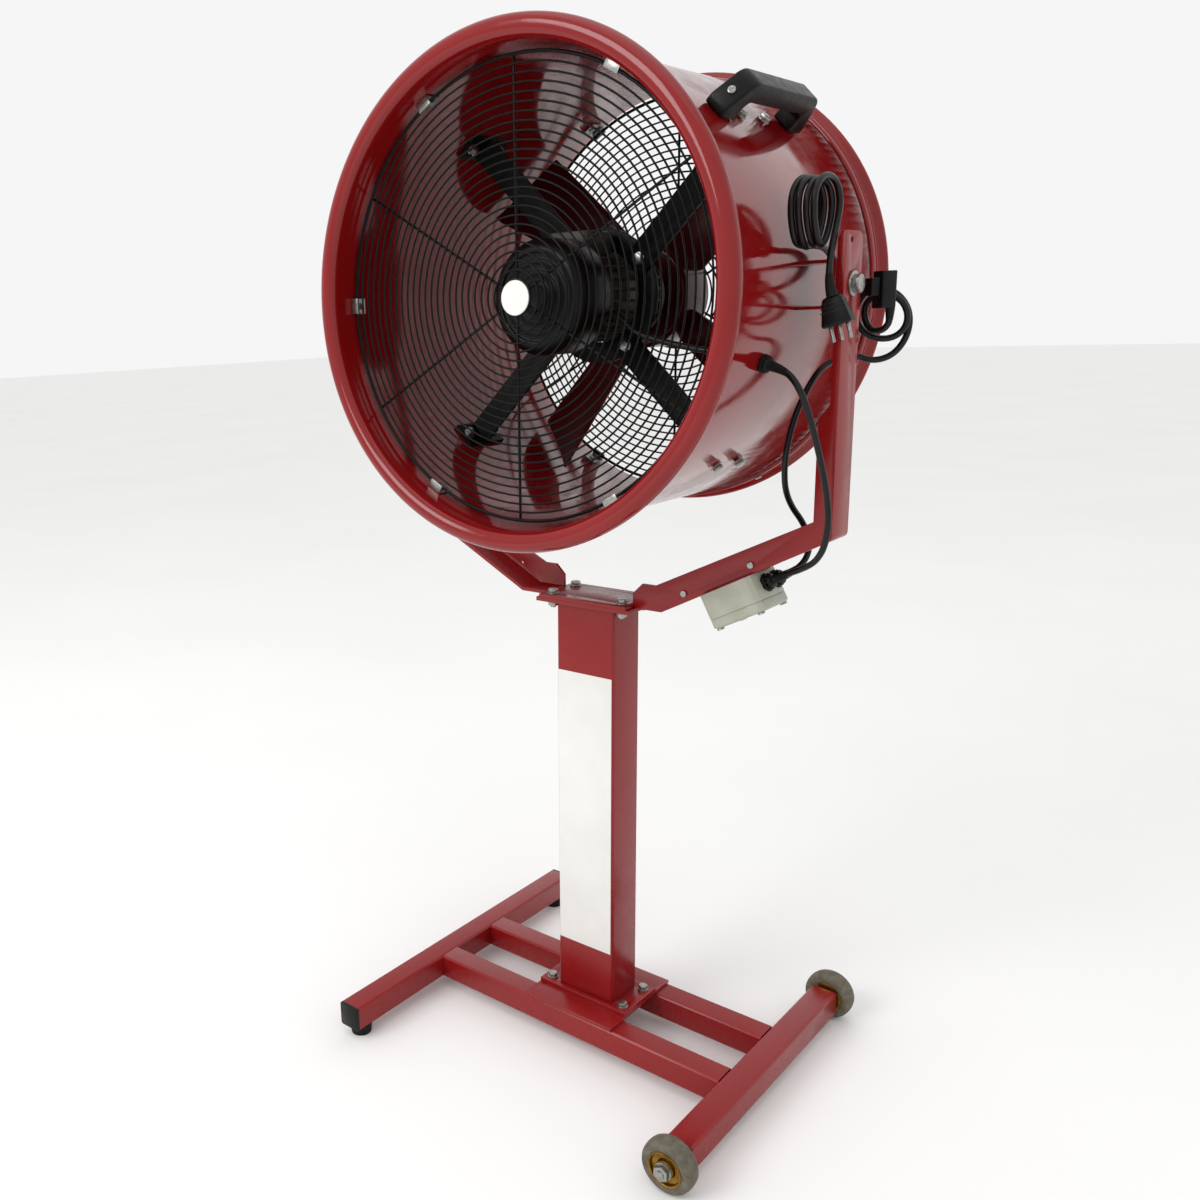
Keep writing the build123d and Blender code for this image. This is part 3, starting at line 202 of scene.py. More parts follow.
def extruded_pvc():
    """Near-black PVC whose colour and roughness follow the same blotches."""
    material, tree, shader, place = begin("extruded_pvc_sheath")
    bloom = 0.018
    colour = mottled(tree, place, bloom, "#060606", "#0C0C0C")
    roughness = ramp(tree, grain(tree, place, bloom), 0.26, 0.42)
    skin = bumped(tree, grain(tree, place, 0.0012), strength=0.15, distance=0.0001)
    connect(tree, shader, colour, roughness, skin)
    shader.inputs["Specular IOR Level"].default_value = 0.3
    return material


SHEATH = extruded_pvc()

# %% [markdown]
# ## The cables
# Two cables leave the control box: the motor's own cable, which goes into the drum, and the mains
# lead. The mains lead rises between the drum and the arm, makes a little over two slack loops and
# ends in a moulded block. From the block a lead goes up to a hank of nearly four turns, and down to
# the plug. Inside the drum a short lead runs on to the motor. Each is one NURBS spline, because that
# bends evenly as a sheathed cable does.

# %% Cables
CABLE_R = 0.004
HANK_X, HANK_Y, HANK_Z = 308, -42, 1222      # the first loop's middle
HANK_STEPS = 45
STEPS_A_TURN = 12
LOOP_PITCH = 8.9       # from one loop to the next
LOOP_R = 38.6
LOOP_STRAY = 1.6       # a loop's size above or below that
LOOP_LEAN = 2.2        # of a loop's top, to the front or rear


def spline(name, points):
    """A smooth open cable through control points given in millimetres."""
    curve = bpy.data.curves.new(name, "CURVE")
    curve.dimensions = "3D"
    curve.bevel_depth = CABLE_R
    curve.bevel_resolution = 4
    curve.resolution_u = 8
    line = curve.splines.new("NURBS")
    line.points.add(len(points) - 1)
    for point, place in zip(line.points, points):
        point.co = (*[c * MM for c in place], 1)
    line.order_u = 3
    line.use_endpoint_u = True
    cable = bpy.data.objects.new(name, curve)
    bpy.context.collection.objects.link(cable)
    curve.materials.append(SHEATH)
    return cable


def line_points(cable):
    """Points along a cable's middle, read from its spline with no thickness."""
    thickness = cable.data.bevel_depth
    cable.data.bevel_depth = 0
    bpy.context.view_layer.update()
    seen = cable.evaluated_get(bpy.context.evaluated_depsgraph_get())
    mesh = bpy.data.meshes.new_from_object(seen)
    points = [v.co.copy() for v in mesh.vertices]
    bpy.data.meshes.remove(mesh)
    cable.data.bevel_depth = thickness
    return points


MOTOR_CABLE = [
    (276.3, -5, 771.3), (292.2, -5, 779.8), (320, -18, 793), (343, -33, 808), (357, -41, 832),
    (360, -43, 864), (356, -45, 900), (350, -55, 942), (344, -70, 985), (340, -84, 1012),
    (331, -88, 1031), (316.5, -85, 1043.2), (298.4, -85, 1048.8),
]
MOTOR_LEAD = [
    (65.8, -70, 1116.1), (80.8, -70, 1110.6), (104, -74, 1091), (145, -79, 1080), (190, -84, 1071),
    (232, -86, 1065), (263.9, -85, 1059.3), (280.2, -85, 1054.3),
]
MAINS_LEAD = [
    (276.3, 22, 771.3), (290.4, 22, 778.9), (303, 30, 795), (303, 39, 817), (291, 41, 841),
    (279, 31, 862), (276, 17, 885), (278, 7, 912), (282, 3, 943), (288, 8, 980), (297, 20, 1013),
    (304, 38, 1037), (313, 62, 1049), (331, 86.8, 1053), (349.4, 93.7, 1045.1), (370, 100.4, 1050.8),
    (383.6, 104.5, 1068.1), (389, 105.5, 1090), (386, 103.2, 1110.4), (374, 98, 1127.5),
    (357.5, 91.4, 1135.4), (342, 85, 1132.7), (332, 80.6, 1118), (330.2, 79.5, 1099.8),
    (338.7, 81.6, 1082.7), (355.4, 86.3, 1072.7), (374, 92.3, 1073.3), (386.6, 95.4, 1084.3),
    (389.7, 95.6, 1100.7), (383.4, 92, 1117.7), (369, 86.2, 1127.3), (354, 80, 1127),
    (344, 75, 1115.8), (343.8, 73, 1103), (347.8, 71.5, 1091.6), (356.5, 70, 1083.2),
    (368.8, 68.2, 1083), (377, 67.1, 1091.4), (377.5, 67, 1101.6), (377.5, 67, 1110.2),
]
PLUG_LEAD_START = [
    (353.3, 55.9, 1136.2), (339.4, 64, 1136.2), (325, 69, 1147), (313, 64, 1162), (308, 48, 1177),
    (308, 26, 1185.5), (307.9, 2, 1186.4), (307.1, -18, 1186), (307.7, -34, 1185.5),
]
PLUG_LEAD_END = [(343.5, -34.2, 1178.9), (348, -47, 1158), (349.8, -51, 1141.4), (354, -50, 1126)]


def hank_turns():
    """Control points of the hank: loops side by side, wide at the top and drawn together below."""
    points = []
    for step in range(1, HANK_STEPS + 1):
        turn = step / STEPS_A_TURN
        angle = 2 * math.pi * turn
        size = LOOP_R + LOOP_STRAY * math.sin(1.9 * turn + 0.4)
        narrow = 0.80 - 0.26 * math.cos(angle)
        lean = LOOP_LEAN * math.sin(2.6 * turn) * (1 - math.cos(angle)) / 2
        points.append((HANK_X + LOOP_PITCH * turn, HANK_Y - size * narrow * math.sin(angle) + lean,
                       HANK_Z - size * math.cos(angle)))
    return points


motor_cable = spline("motor_cable_sheath", MOTOR_CABLE)
motor_lead = spline("motor_lead_sheath", MOTOR_LEAD)
mains_lead = spline("mains_lead_sheath", MAINS_LEAD)
plug_lead = spline("plug_lead_sheath", PLUG_LEAD_START + hank_turns() + PLUG_LEAD_END)
CABLES = (motor_cable, motor_lead, mains_lead, plug_lead)
LINES = {}
for cable in CABLES:
    line = LINES[cable.name] = line_points(cable)
    print(cable.name, "is", round(sum((b - a).length for a, b in zip(line, line[1:])), 3), "m long")

# %% [markdown]
# Each cable becomes a mesh tube, and its spline's line is kept for the pieces along it. The motor's
# cable bends when the drum tilts, but here it keeps its place in its mesh and rides on no body. The
# others ride on one body each.

# %% Cables on their bodies


def alone(piece):
    """Selects one piece and nothing else."""
    bpy.ops.object.select_all(action="DESELECT")
    piece.select_set(True)
    bpy.context.view_layer.objects.active = piece


for cable in CABLES:
    alone(cable)
    bpy.ops.object.convert(target="MESH")
    bpy.ops.object.shade_smooth_by_angle(angle=math.radians(60))
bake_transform(motor_cable)
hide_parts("motor_cable")
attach(motor_lead, "drum")
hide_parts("motor_lead")
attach(mains_lead, "stand")
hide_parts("mains_lead")
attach(plug_lead, "stand")
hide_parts("hank_lead", "mains_hank", "mains_tail")

# %% [markdown]
# ## Helpers for modelling
# A turned piece starts as a line of edges: one vertex, and each next one extruded from it. Spinning
# the line round the axis gives the solid, as on a lathe. A bevel then takes off the sharp rims,
# because a real edge is never perfectly sharp and its roundness is what catches the light.

# %% Modelling helpers


def draw_line(points):
    """Draws edges from point to point in edit mode, and stays there."""
    bpy.ops.object.select_all(action="DESELECT")
    bpy.ops.mesh.primitive_plane_add(size=0.001, location=points[0])
    bpy.ops.object.mode_set(mode="EDIT")
    bpy.ops.mesh.merge(type="CENTER")
    for here, there in zip(points, points[1:]):
        bpy.ops.mesh.extrude_vertices_move(TRANSFORM_OT_translate={"value": Vector(there) - Vector(here)})


def turn(section, steps, centre=PIVOT, closed=True):
    """Spins (radius, y) points in millimetres round the Y axis through centre."""
    points = [Vector((centre.x + r * MM, y * MM, centre.z)) for r, y in section]
    draw_line(points + points[:1] if closed else points)
    bpy.ops.mesh.select_all(action="SELECT")
    bpy.ops.mesh.remove_doubles(threshold=1e-6)
    bpy.ops.mesh.spin(steps=steps, angle=2 * math.pi, center=(centre.x, 0, centre.z), axis=(0, 1, 0))
    bpy.ops.mesh.select_all(action="SELECT")
    bpy.ops.mesh.remove_doubles(threshold=1e-5)
    bpy.ops.mesh.normals_make_consistent(inside=False)
    bpy.ops.object.mode_set(mode="OBJECT")
    return bpy.context.object


def soften(piece, width, segments=2, angle=35):
    """Rounds a piece's edges and shades it smooth between them. Width is in millimetres."""
    alone(piece)
    bpy.ops.object.modifier_add(type="BEVEL")
    bevel = piece.modifiers[-1]
    bevel.width = width * MM
    bevel.segments = segments
    bevel.limit_method = "ANGLE"
    bevel.angle_limit = math.radians(angle)
    bpy.ops.object.modifier_apply(modifier=bevel.name)
    bpy.ops.object.shade_smooth_by_angle(angle=math.radians(angle))
    return piece


def copy_of(node):
    """A copy of a CAD node without its notes, its loose triangles joined and its flat faces whole."""
    alone(frame["nodes"][node])
    bpy.ops.object.duplicate()
    piece = bpy.context.object
    bpy.ops.object.parent_clear(type="CLEAR_KEEP_TRANSFORM")
    for note in list(piece.keys()):
        del piece[note]
    bpy.ops.object.mode_set(mode="EDIT")
    bpy.ops.mesh.select_all(action="SELECT")
    bpy.ops.mesh.remove_doubles(threshold=2e-6)
    bpy.ops.mesh.dissolve_limited(angle_limit=math.radians(1))
    bpy.ops.object.mode_set(mode="OBJECT")
    return piece


def joined(pieces):
    """Several pieces made one."""
    bpy.ops.object.select_all(action="DESELECT")
    for piece in pieces:
        piece.select_set(True)
    bpy.context.view_layer.objects.active = pieces[0]
    if len(pieces) > 1:
        bpy.ops.object.join()
    return bpy.context.object


def spread(model, places):
    """Copies of a model, each with its own mesh, one for each matrix. The model itself goes."""
    copies = []
    for place in places:
        copy = model.copy()
        copy.data = model.data.copy()
        copy.data.transform(place @ model.matrix_world)
        copy.matrix_world = Matrix.Identity(4)
        bpy.context.collection.objects.link(copy)
        copies.append(copy)
    bpy.data.objects.remove(model)
    return joined(copies)


def finish_piece(piece, name, material, body, slot, *nodes):
    """Puts a piece's place into its mesh, names and paints it, and hands it to the frame."""
    alone(piece)
    bpy.ops.object.transform_apply(location=True, rotation=True, scale=True)
    piece.name = piece.data.name = name
    piece.data.materials.clear()
    piece.data.materials.append(material)
    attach(piece, body)
    if nodes:
        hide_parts(*nodes)
    print(name, len(piece.data.polygons), "faces")
    return piece


# %% [markdown]
# ## Places
# Each bolt, screw and gland is modelled at the origin, standing along Z. It could be moved and turned
# by hand, but a matrix does both in one step. One function works it out for a place on the drum, and
# another gives points below the right arm's slope.

# %% Places


def matrix_from(x_way, z_way, at):
    """A frame at a point in millimetres, with its z and x along two directions."""
    z = Vector(z_way).normalized()
    y = z.cross(Vector(x_way)).normalized()
    made = Matrix((y.cross(z), y, z)).transposed().to_4x4()
    made.translation = Vector(at) * MM
    return made


def on_drum(degrees, y, side, radius, inward=False):
    """A place on the drum whose z points outwards, x to the rear. Millimetres."""
    a = math.radians(degrees)
    out = Vector((math.cos(a), 0, math.sin(a)))
    across = Vector((-math.sin(a), 0, math.cos(a)))
    at = PIVOT / MM + Vector((0, y, 0)) + out * radius + across * side
    return matrix_from((0, 1, 0), -out if inward else out, at)


SLOPE_RUN, SLOPE_RISE = 236.2, 125.5
SLOPE_START_X, SLOPE_START_Z = 120.8, 708
SLOPE_ANGLE = math.atan2(SLOPE_RISE, SLOPE_RUN)
SLOPE_X = Vector((math.cos(SLOPE_ANGLE), 0, math.sin(SLOPE_ANGLE)))
SLOPE_DOWN = Vector((math.sin(SLOPE_ANGLE), 0, -math.cos(SLOPE_ANGLE)))


def on_slope(along, y, below):
    """A point under the sloping part of the right arm, in millimetres."""
    return Vector((SLOPE_START_X, y, SLOPE_START_Z)) + SLOPE_X * along + SLOPE_DOWN * below


# %% [markdown]
# ## Floor and light
# A plain pale floor, a white world and three soft lights. Most of the light comes from the world, so
# the shadows are soft. A lamp in front gives the bright red of the front faces, a faint tall one to
# the right and behind is for the drum's glossy side, and a faint one hangs above. The Standard view
# transform is set, because the default one washes out the reds.

# %% Floor and lights
bpy.ops.mesh.primitive_plane_add(size=60, location=(0, 0, 0))
floor = bpy.context.object
floor.name = "studio_floor"
material, tree, shader, place = begin("pale_matt_floor")
tree.links.new(mottled(tree, place, 0.8, "#F4F4F3", "#F1F1F0"), shader.inputs["Base Color"])
shader.inputs["Roughness"].default_value = 0.9
floor.data.materials.append(material)


def soft_light(name, at, aim, size, power):
    """A large rectangular lamp at a point, turned towards another."""
    bpy.ops.object.light_add(type="AREA", location=at)
    lamp = bpy.context.object
    lamp.name = name
    lamp.data.shape = "RECTANGLE"
    lamp.data.size, lamp.data.size_y = size
    lamp.data.energy = power
    lamp.rotation_mode = "QUATERNION"
    lamp.rotation_quaternion = (Vector(aim) - Vector(at)).to_track_quat("-Z", "Y")
    return lamp


lamps = [
    soft_light("front_softbox", at=(-1.2, -3.6, 2.9), aim=(0, 0, 0.8), size=(2.2, 2.2), power=82),
    soft_light("side_softbox", at=(3.4, 2.6, 1.9), aim=(0.2, 0, 1.0), size=(2.6, 3.0), power=6),
    soft_light("top_fill", at=(0.4, -0.4, 4.2), aim=(0, 0, 0), size=(3, 3), power=12),
]
world = bpy.context.scene.world or bpy.data.worlds.new("studio")
bpy.context.scene.world = world
world.use_nodes = True
background = world.node_tree.nodes["Background"]
background.inputs["Color"].default_value = (1, 1, 1, 1)
background.inputs["Strength"].default_value = 0.92
bpy.context.scene.view_settings.view_transform = "Standard"
print("floor and", len(lamps), "soft lights")

# %% [markdown]
# ## Red finishes
# The steel is powder coated in red: the powder melts into a smooth skin with a faint orange-peel
# ripple a few millimetres long, and the sheet below has slow waves. Both are drawn as bump, because
# they are too shallow to model. Edges are painted slightly paler, a painted highlight along them. The
# drum is glossier than the stand, and the blades are maroon.

# %% Red powder coat


def powder_coat(name, deep, bright, gloss, ripple):
    """A baked coat. Gloss is its lowest roughness, ripple the strength of its orange peel."""
    material, tree, shader, place = begin(name)
    body = mottled(tree, place, 0.16, deep, bright)
    # Sharp edges are painted a paler red, a painted highlight.
    colour = blend_colours(tree, edge_highlight_mask(tree, 0.0012), body, linear("#9A2623"))
    roughness = ramp(tree, grain(tree, place, 0.03), gloss, gloss + 0.09)
    peel = bumped(tree, grain(tree, place, 0.0035, detail=1), strength=ripple, distance=0.0001)
    waves = bumped(tree, grain(tree, place, 0.12, detail=0), strength=0.35, distance=0.0006, below=peel)
    connect(tree, shader, colour, roughness, waves)
    shader.inputs["Specular IOR Level"].default_value = 0.42
    return material


RED_DRUM = powder_coat("red_powder_coat_drum", "#7A0C0F", "#820F11", gloss=0.06, ripple=0.05)
RED_STAND = powder_coat("red_powder_coat_stand", "#7E0D10", "#871012", gloss=0.24, ripple=0.1)
BLADE_PAINT = powder_coat("maroon_blade_paint", "#3A0B0D", "#440E10", gloss=0.16, ripple=0.15)

# %% [markdown]
# ## Dark finishes
# The struts, the motor's mount, the guards' wires and most plastic and rubber parts are black. The
# motor is a casting in a dull olive grey whose rough skin shows. They differ only in colour, roughness,
# texture and shine, so one function makes them all. Edges are painted a little paler, a painted highlight.

# %% Dark finishes


def satin_coat(name, dark, light, rough, grit, depth, sheen):
    """A dark satin surface. Grit is the size of its texture and depth its height, in metres."""
    material, tree, shader, place = begin(name)
    body = mottled(tree, place, 0.03, dark, light)
    # Sharp edges are painted a paler grey, a painted highlight.
    colour = blend_colours(tree, edge_highlight_mask(tree, 0.0008), body, linear("#2E2E2B"))
    roughness = ramp(tree, grain(tree, place, 0.012), rough, rough + 0.16)
    skin = bumped(tree, grain(tree, place, grit), strength=0.35, distance=depth)
    connect(tree, shader, colour, roughness, skin)
    shader.inputs["Specular IOR Level"].default_value = sheen
    return material


BLACK_STEEL = satin_coat("black_powder_coated_steel", "#060706", "#0A0B0A",
                         rough=0.36, grit=0.0018, depth=0.0001, sheen=0.12)
BLACK_WIRE = satin_coat("black_coated_guard_wire", "#060606", "#0A0A0A",
                        rough=0.34, grit=0.0015, depth=0.00005, sheen=0.14)
CAST_GREY = satin_coat("sprayed_cast_aluminium", "#3A3B34", "#4C4D44",
                       rough=0.36, grit=0.0011, depth=0.0002, sheen=0.3)
MOULDED_BLACK = satin_coat("moulded_black_plastic", "#070707", "#0D0D0C",
                           rough=0.28, grit=0.0009, depth=0.00006, sheen=0.2)
SOFT_BLACK = satin_coat("moulded_black_rubber", "#0A0A0A", "#121211",
                        rough=0.55, grit=0.0013, depth=0.0001, sheen=0.2)

# %% [markdown]
# The bolts are zinc plated, which is a dull silver in small patches of slightly different tone and
# roughness. The hubs are turned brass with fine rings left by the tool. The rings are drawn as bump
# from the distance to the axle, because they are far too fine to model.

# %% Metals
AXLE = Vector((0.278, 0, 0.0375))      # both wheels' axles
RING_PITCH = 0.0008


def plated_zinc():
    """A dull silver plate in fine patches."""
    material, tree, shader, place = begin("bright_zinc_plate")
    colour = mottled(tree, place, 0.004, "#8E8E8A", "#AEAEAA")
    roughness = ramp(tree, grain(tree, place, 0.002), 0.24, 0.42)
    skin = bumped(tree, grain(tree, place, 0.0006), strength=0.2, distance=0.00005)
    connect(tree, shader, colour, roughness, skin)
    shader.inputs["Metallic"].default_value = 1
    return material


def turned_brass():
    """Brass with fine rings round the wheels' axles."""
    material, tree, shader, place = begin("turned_brass")
    away = add(tree, "ShaderNodeVectorMath", {0: place, 1: AXLE}, operation="SUBTRACT").outputs[0]
    disc = add(tree, "ShaderNodeVectorMath", {0: away, 1: (1, 0, 1)}, operation="MULTIPLY").outputs[0]
    reach = add(tree, "ShaderNodeVectorMath", {0: disc}, operation="LENGTH").outputs["Value"]
    phase = add(tree, "ShaderNodeMath", {0: reach, 1: 2 * math.pi / RING_PITCH}, operation="MULTIPLY")
    rings = add(tree, "ShaderNodeMath", {0: phase.outputs[0]}, operation="SINE").outputs[0]
    tarnish = ramp(tree, grain(tree, place, 0.009), 0, 1)
    colour = blend_colours(tree, tarnish, linear("#6E5222"), linear("#A17C35"))
    roughness = ramp(tree, tarnish, 0.42, 0.26, 0, 1)
    connect(tree, shader, colour, roughness, bumped(tree, rings, strength=0.25, distance=0.00005))
    shader.inputs["Metallic"].default_value = 1
    return material


ZINC = plated_zinc()
BRASS = turned_brass()

# %% [markdown]
# The tyres are a grey-brown solid rubber, the control box is moulded grey plastic, and the column's
# panel and the guard's badge are white vinyl. None is quite even: each has blotches of two near
# colours and a fine skin.

# %% Rubber, plastic and vinyl


def speckled(name, first, second, rough, grit, strength, depth, blotch=0.01):
    """A non-metal with blotches of two near colours and a fine skin texture."""
    material, tree, shader, place = begin(name)
    body = mottled(tree, place, blotch, first, second)
    # Sharp edges are painted in the paler of the two colours, a painted highlight.
    colour = blend_colours(tree, edge_highlight_mask(tree, 0.001), body, linear(second))
    roughness = ramp(tree, grain(tree, place, blotch / 3), rough, rough + 0.14)
    skin = bumped(tree, grain(tree, place, grit), strength, distance=depth)
    connect(tree, shader, colour, roughness, skin)
    return material


TYRE = speckled("solid_grey_rubber", "#4F493E", "#6B6456",
                rough=0.72, grit=0.0012, strength=0.8, depth=0.0003)
BOX_PLASTIC = speckled("moulded_grey_plastic", "#9A9C8C", "#A9AB9C",
                       rough=0.38, grit=0.0010, strength=0.25, depth=0.0001, blotch=0.03)
VINYL = speckled("white_vinyl_sheet", "#D9D8D4", "#E2E1DD",
                 rough=0.32, grit=0.02, strength=0.15, depth=0.0003, blotch=0.08)
print("materials", len(bpy.data.materials))

# %% [markdown]
# ## The drum
# The drum is one sheet of steel rolled round and welded along a seam, with its front edge rolled
# outwards into a thick round lip. A cylinder primitive would leave the lip to a bevel, so the
# section is drawn as a line instead, wall and lip in one, and spun round the axis.

# %% Drum shell and lip
DRUM_R = 300
WALL = 3
REAR_Y = 231
LIP_R = 14.2
LIP_CENTRE_R = DRUM_R - WALL + LIP_R
LIP_Y = -216.8
LIP_START, LIP_END = 180, -55      # degrees, from the wall to the free edge


def lip_arc(radius, start, end, steps=20):
    """Points round the lip's section between two angles, in degrees."""
    points = []
    for i in range(steps + 1):
        a = math.radians(start + (end - start) * i / steps)
        points.append((LIP_CENTRE_R + radius * math.cos(a), LIP_Y - radius * math.sin(a)))
    return points


outer_arc = lip_arc(LIP_R, LIP_START, LIP_END)
inner_arc = lip_arc(LIP_R - WALL, LIP_END, LIP_START)
section = [(DRUM_R - WALL, REAR_Y)] + outer_arc + inner_arc + [(DRUM_R, REAR_Y)]
shell = soften(turn(section, steps=160), 0.8, angle=40)
finish_piece(shell, "drum_shell_rolled", RED_DRUM, "drum", "red_paint", "drum_shell")

# %% [markdown]
# A pressed hoop closes the rear edge. It has a flat bead, a groove and a lip that flares out, all
# from one strip of steel, so it is one section spun round as well.

# %% Rear hoop
HOOP_R = DRUM_R + 0.3
section = [
    (HOOP_R, 194), (304.4, 194), (305.8, 195.4), (305.8, 206), (304.9, 208), (302.9, 210.6),
    (302.7, 214), (303.6, 217.4), (306.4, 220.6), (310.2, 222.9), (312.2, 224.6), (313, 226.6),
    (312.8, 229), (311.4, 230.6), (309, REAR_Y), (HOOP_R, REAR_Y),
]
hoop = soften(turn(section, steps=160), 0.5, angle=50)
finish_piece(hoop, "rear_hoop_pressed", RED_DRUM, "drum", "red_paint", "rear_hoop")

# %% [markdown]
# ## The guards
# Each guard is made of round wires: rings, the last of them a thicker rim, welded to six spokes that
# lie inside them, and a small plate in the middle. A torus and a cylinder are the same thing as a
# bent and a straight wire, so they are added at size and joined, a little sunk into each other.

# %% Guards
FRONT_GUARD_Y = -187.5
REAR_GUARD_Y = 216.5
RING_COUNT = 24
SPOKE_COUNT = 6
FIRST_SPOKE = 30
RING_WIRE = 1.35
SPOKE_WIRE = 1.9
RIM_WIRE = 2.3
WELD_SINK = 0.5
PLATE_R = 24
PLATE_HALF = 1.4
RIM_R = 287.6


def wire_ring(radius, wire, y, sides=8):
    """One ring of round wire round the drum's axis, in millimetres."""
    bpy.ops.mesh.primitive_torus_add(
        location=(0, y * MM, PIVOT.z), rotation=(math.pi / 2, 0, 0), major_segments=96,
        minor_segments=sides, major_radius=radius * MM, minor_radius=wire * MM, generate_uvs=False)
    return bpy.context.object


def spoke(degrees, y):
    """One straight wire from under the plate to just past the rim's middle, its ends rounded off."""
    a = math.radians(degrees)
    inner, outer = PLATE_R - 4, RIM_R + 2
    middle = (inner + outer) / 2
    at = (middle * MM * math.cos(a), y * MM, PIVOT.z + middle * MM * math.sin(a))
    bpy.ops.mesh.primitive_cylinder_add(vertices=10, radius=SPOKE_WIRE * MM, depth=(outer - inner) * MM,
                                        location=at, rotation=(0, math.pi / 2 - a, 0))
    return soften(bpy.context.object, 0.6)


def guard(y, back):
    """A guard whose rings lie in the plane at y; back is +1 where its spokes lie to the rear."""
    pitch = (RIM_R - PLATE_R) / RING_COUNT
    wires = [wire_ring(PLATE_R + pitch * i, RING_WIRE, y) for i in range(1, RING_COUNT)]
    wires.append(wire_ring(RIM_R, RIM_WIRE, y, sides=10))
    behind = y + back * (RING_WIRE + SPOKE_WIRE - WELD_SINK)
    wires += [spoke(FIRST_SPOKE + 360 / SPOKE_COUNT * i, behind) for i in range(SPOKE_COUNT)]
    front, rear = y - PLATE_HALF, y + PLATE_HALF
    plate = turn([(0, front), (PLATE_R, front), (PLATE_R, rear), (0, rear)], steps=48, closed=False)
    wires.append(soften(plate, 0.6))
    for wire in wires:
        wire.data.shade_smooth()
    return joined(wires)


front_guard = guard(FRONT_GUARD_Y, back=1)
finish_piece(front_guard, "front_guard_wires", BLACK_WIRE, "drum", "black_steel", "front_guard")
rear_guard = guard(REAR_GUARD_Y, back=-1)
finish_piece(rear_guard, "rear_guard_wires", BLACK_WIRE, "drum", "black_steel", "rear_guard")

# %% [markdown]
# The badge in the middle of the front guard is a domed disc with a raised rim. It is left bare.

# %% Badge
section = [
    (0, -190.6), (15, -190.5), (19.4, -190.1), (20.2, -190.4), (21.4, -190.5), (22, -190), (22, -189),
    (0, -189),
]
badge = soften(turn(section, steps=64, closed=False), 0.15, angle=50)
finish_piece(badge, "guard_badge_disc", VINYL, "drum", "cowl_black", "guard_badge")

# %% [markdown]
# ## Plates, tubes, brackets and mouldings
# These keep the shapes that the CAD gives them: bent sheet, square tube, flat bar and a few plain
# mouldings and castings. A copy of each has its corners joined and its edges rounded, as they come
# from the grinder or the mould. The handle's edges are the widest, so they are rounded in more steps.

# %% Pieces copied from the CAD
COPIED = [
    (1.2, RED_STAND, "stand", "red_paint", ["foot_bar", "wheel_bar", "base_rails"]),
    (0.8, RED_STAND, "stand", "red_paint", ["base_plate", "column_plates"]),
    (1.2, RED_STAND, "stand", "red_paint", ["column"]),
    (0.8, RED_STAND, "stand", "red_paint", ["yoke_pad"]),
    (1.0, RED_STAND, "stand", "red_paint", ["yoke_arm_right", "yoke_arm_left"]),
    (0.8, RED_DRUM, "drum", "red_paint", ["pivot_bracket_right", "pivot_bracket_left"]),
    (0.8, BLACK_STEEL, "drum", "black_steel", ["strut_1", "strut_2", "strut_3", "strut_4"]),
    (0.8, BLACK_STEEL, "drum", "black_steel", ["motor_mount_ring"]),
    (0.5, ZINC, "drum", "zinc", ["guard_clips"]),
    (0.7, CAST_GREY, "drum", "motor_grey", ["motor_body"]),
    (1.6, CAST_GREY, "drum", "motor_grey", ["motor_terminal_box"]),
    (0.7, BLADE_PAINT, "impeller", "blade_maroon", ["impeller_blades"]),
    (0.8, MOULDED_BLACK, "stand", "plastic_black", ["bar_end_caps"]),
    (0.2, VINYL, "stand", "white_panel", ["column_label"]),
    (1.8, BOX_PLASTIC, "stand", "box_grey", ["control_box"]),
    (1.2, BOX_PLASTIC, "stand", "box_grey", ["control_box_lid"]),
    (3.2, MOULDED_BLACK, "drum", "plastic_black", ["carry_handle"]),
    (1.4, MOULDED_BLACK, "stand", "plastic_black", ["lead_joiner"]),
]
for width, material, body, slot, nodes in COPIED:
    for node in nodes:
        segments = 4 if node == "carry_handle" else 2
        piece = soften(copy_of(node), width, segments)
        finish_piece(piece, node + "_finished", material, body, slot, node)

# %% [markdown]
# ## Wheels
# A solid rubber tyre on a turned brass hub. The hub has a recess round its boss, and the tyre has a
# low crown with a moulding line along its middle.

# %% Wheels
TYRE_SECTION = [
    (24.5, 236), (32, 236), (34.6, 237.6), (36.4, 241), (37.2, 245), (37.3, 249.4), (37.5, 249.7),
    (37.5, 250.3), (37.3, 250.6), (37.2, 255), (36.4, 259), (34.6, 262.4), (32, 264), (24.5, 264),
]
HUB_SECTION = [
    (6.05, 235), (24.5, 235), (24.5, 265), (22.4, 265), (21.6, 264.2), (20.8, 259.4), (13.6, 259),
    (12.4, 264.4), (11.6, 265), (6.05, 265),
]
WHEEL_PARTS = [
    ("tyre_", TYRE_SECTION, 0.5, 45, TYRE, "tyre_grey"),
    ("hub_", HUB_SECTION, 0.4, 30, BRASS, "hub_brass"),
]


def wheel(side, name):
    """Tyre and hub of one wheel. Side is -1 at the front and 1 at the rear."""
    for part, section, width, angle, material, slot in WHEEL_PARTS:
        piece = soften(turn([(r, side * y) for r, y in section], 72, AXLE), width, angle=angle)
        finish_piece(piece, part + name, material, "wheel_" + name, slot, "wheel_" + part + name)


wheel(-1, "front")
wheel(1, "rear")

# %% [markdown]
# ## Fasteners
# One function models a hexagon bolt with its nut and washers and another a domed cross-head screw.
# Each copy is put where the CAD has its solid. A bolt's head is a six-sided cylinder with a low round
# disc on top, which stands for the chamfer.

# %% Fasteners


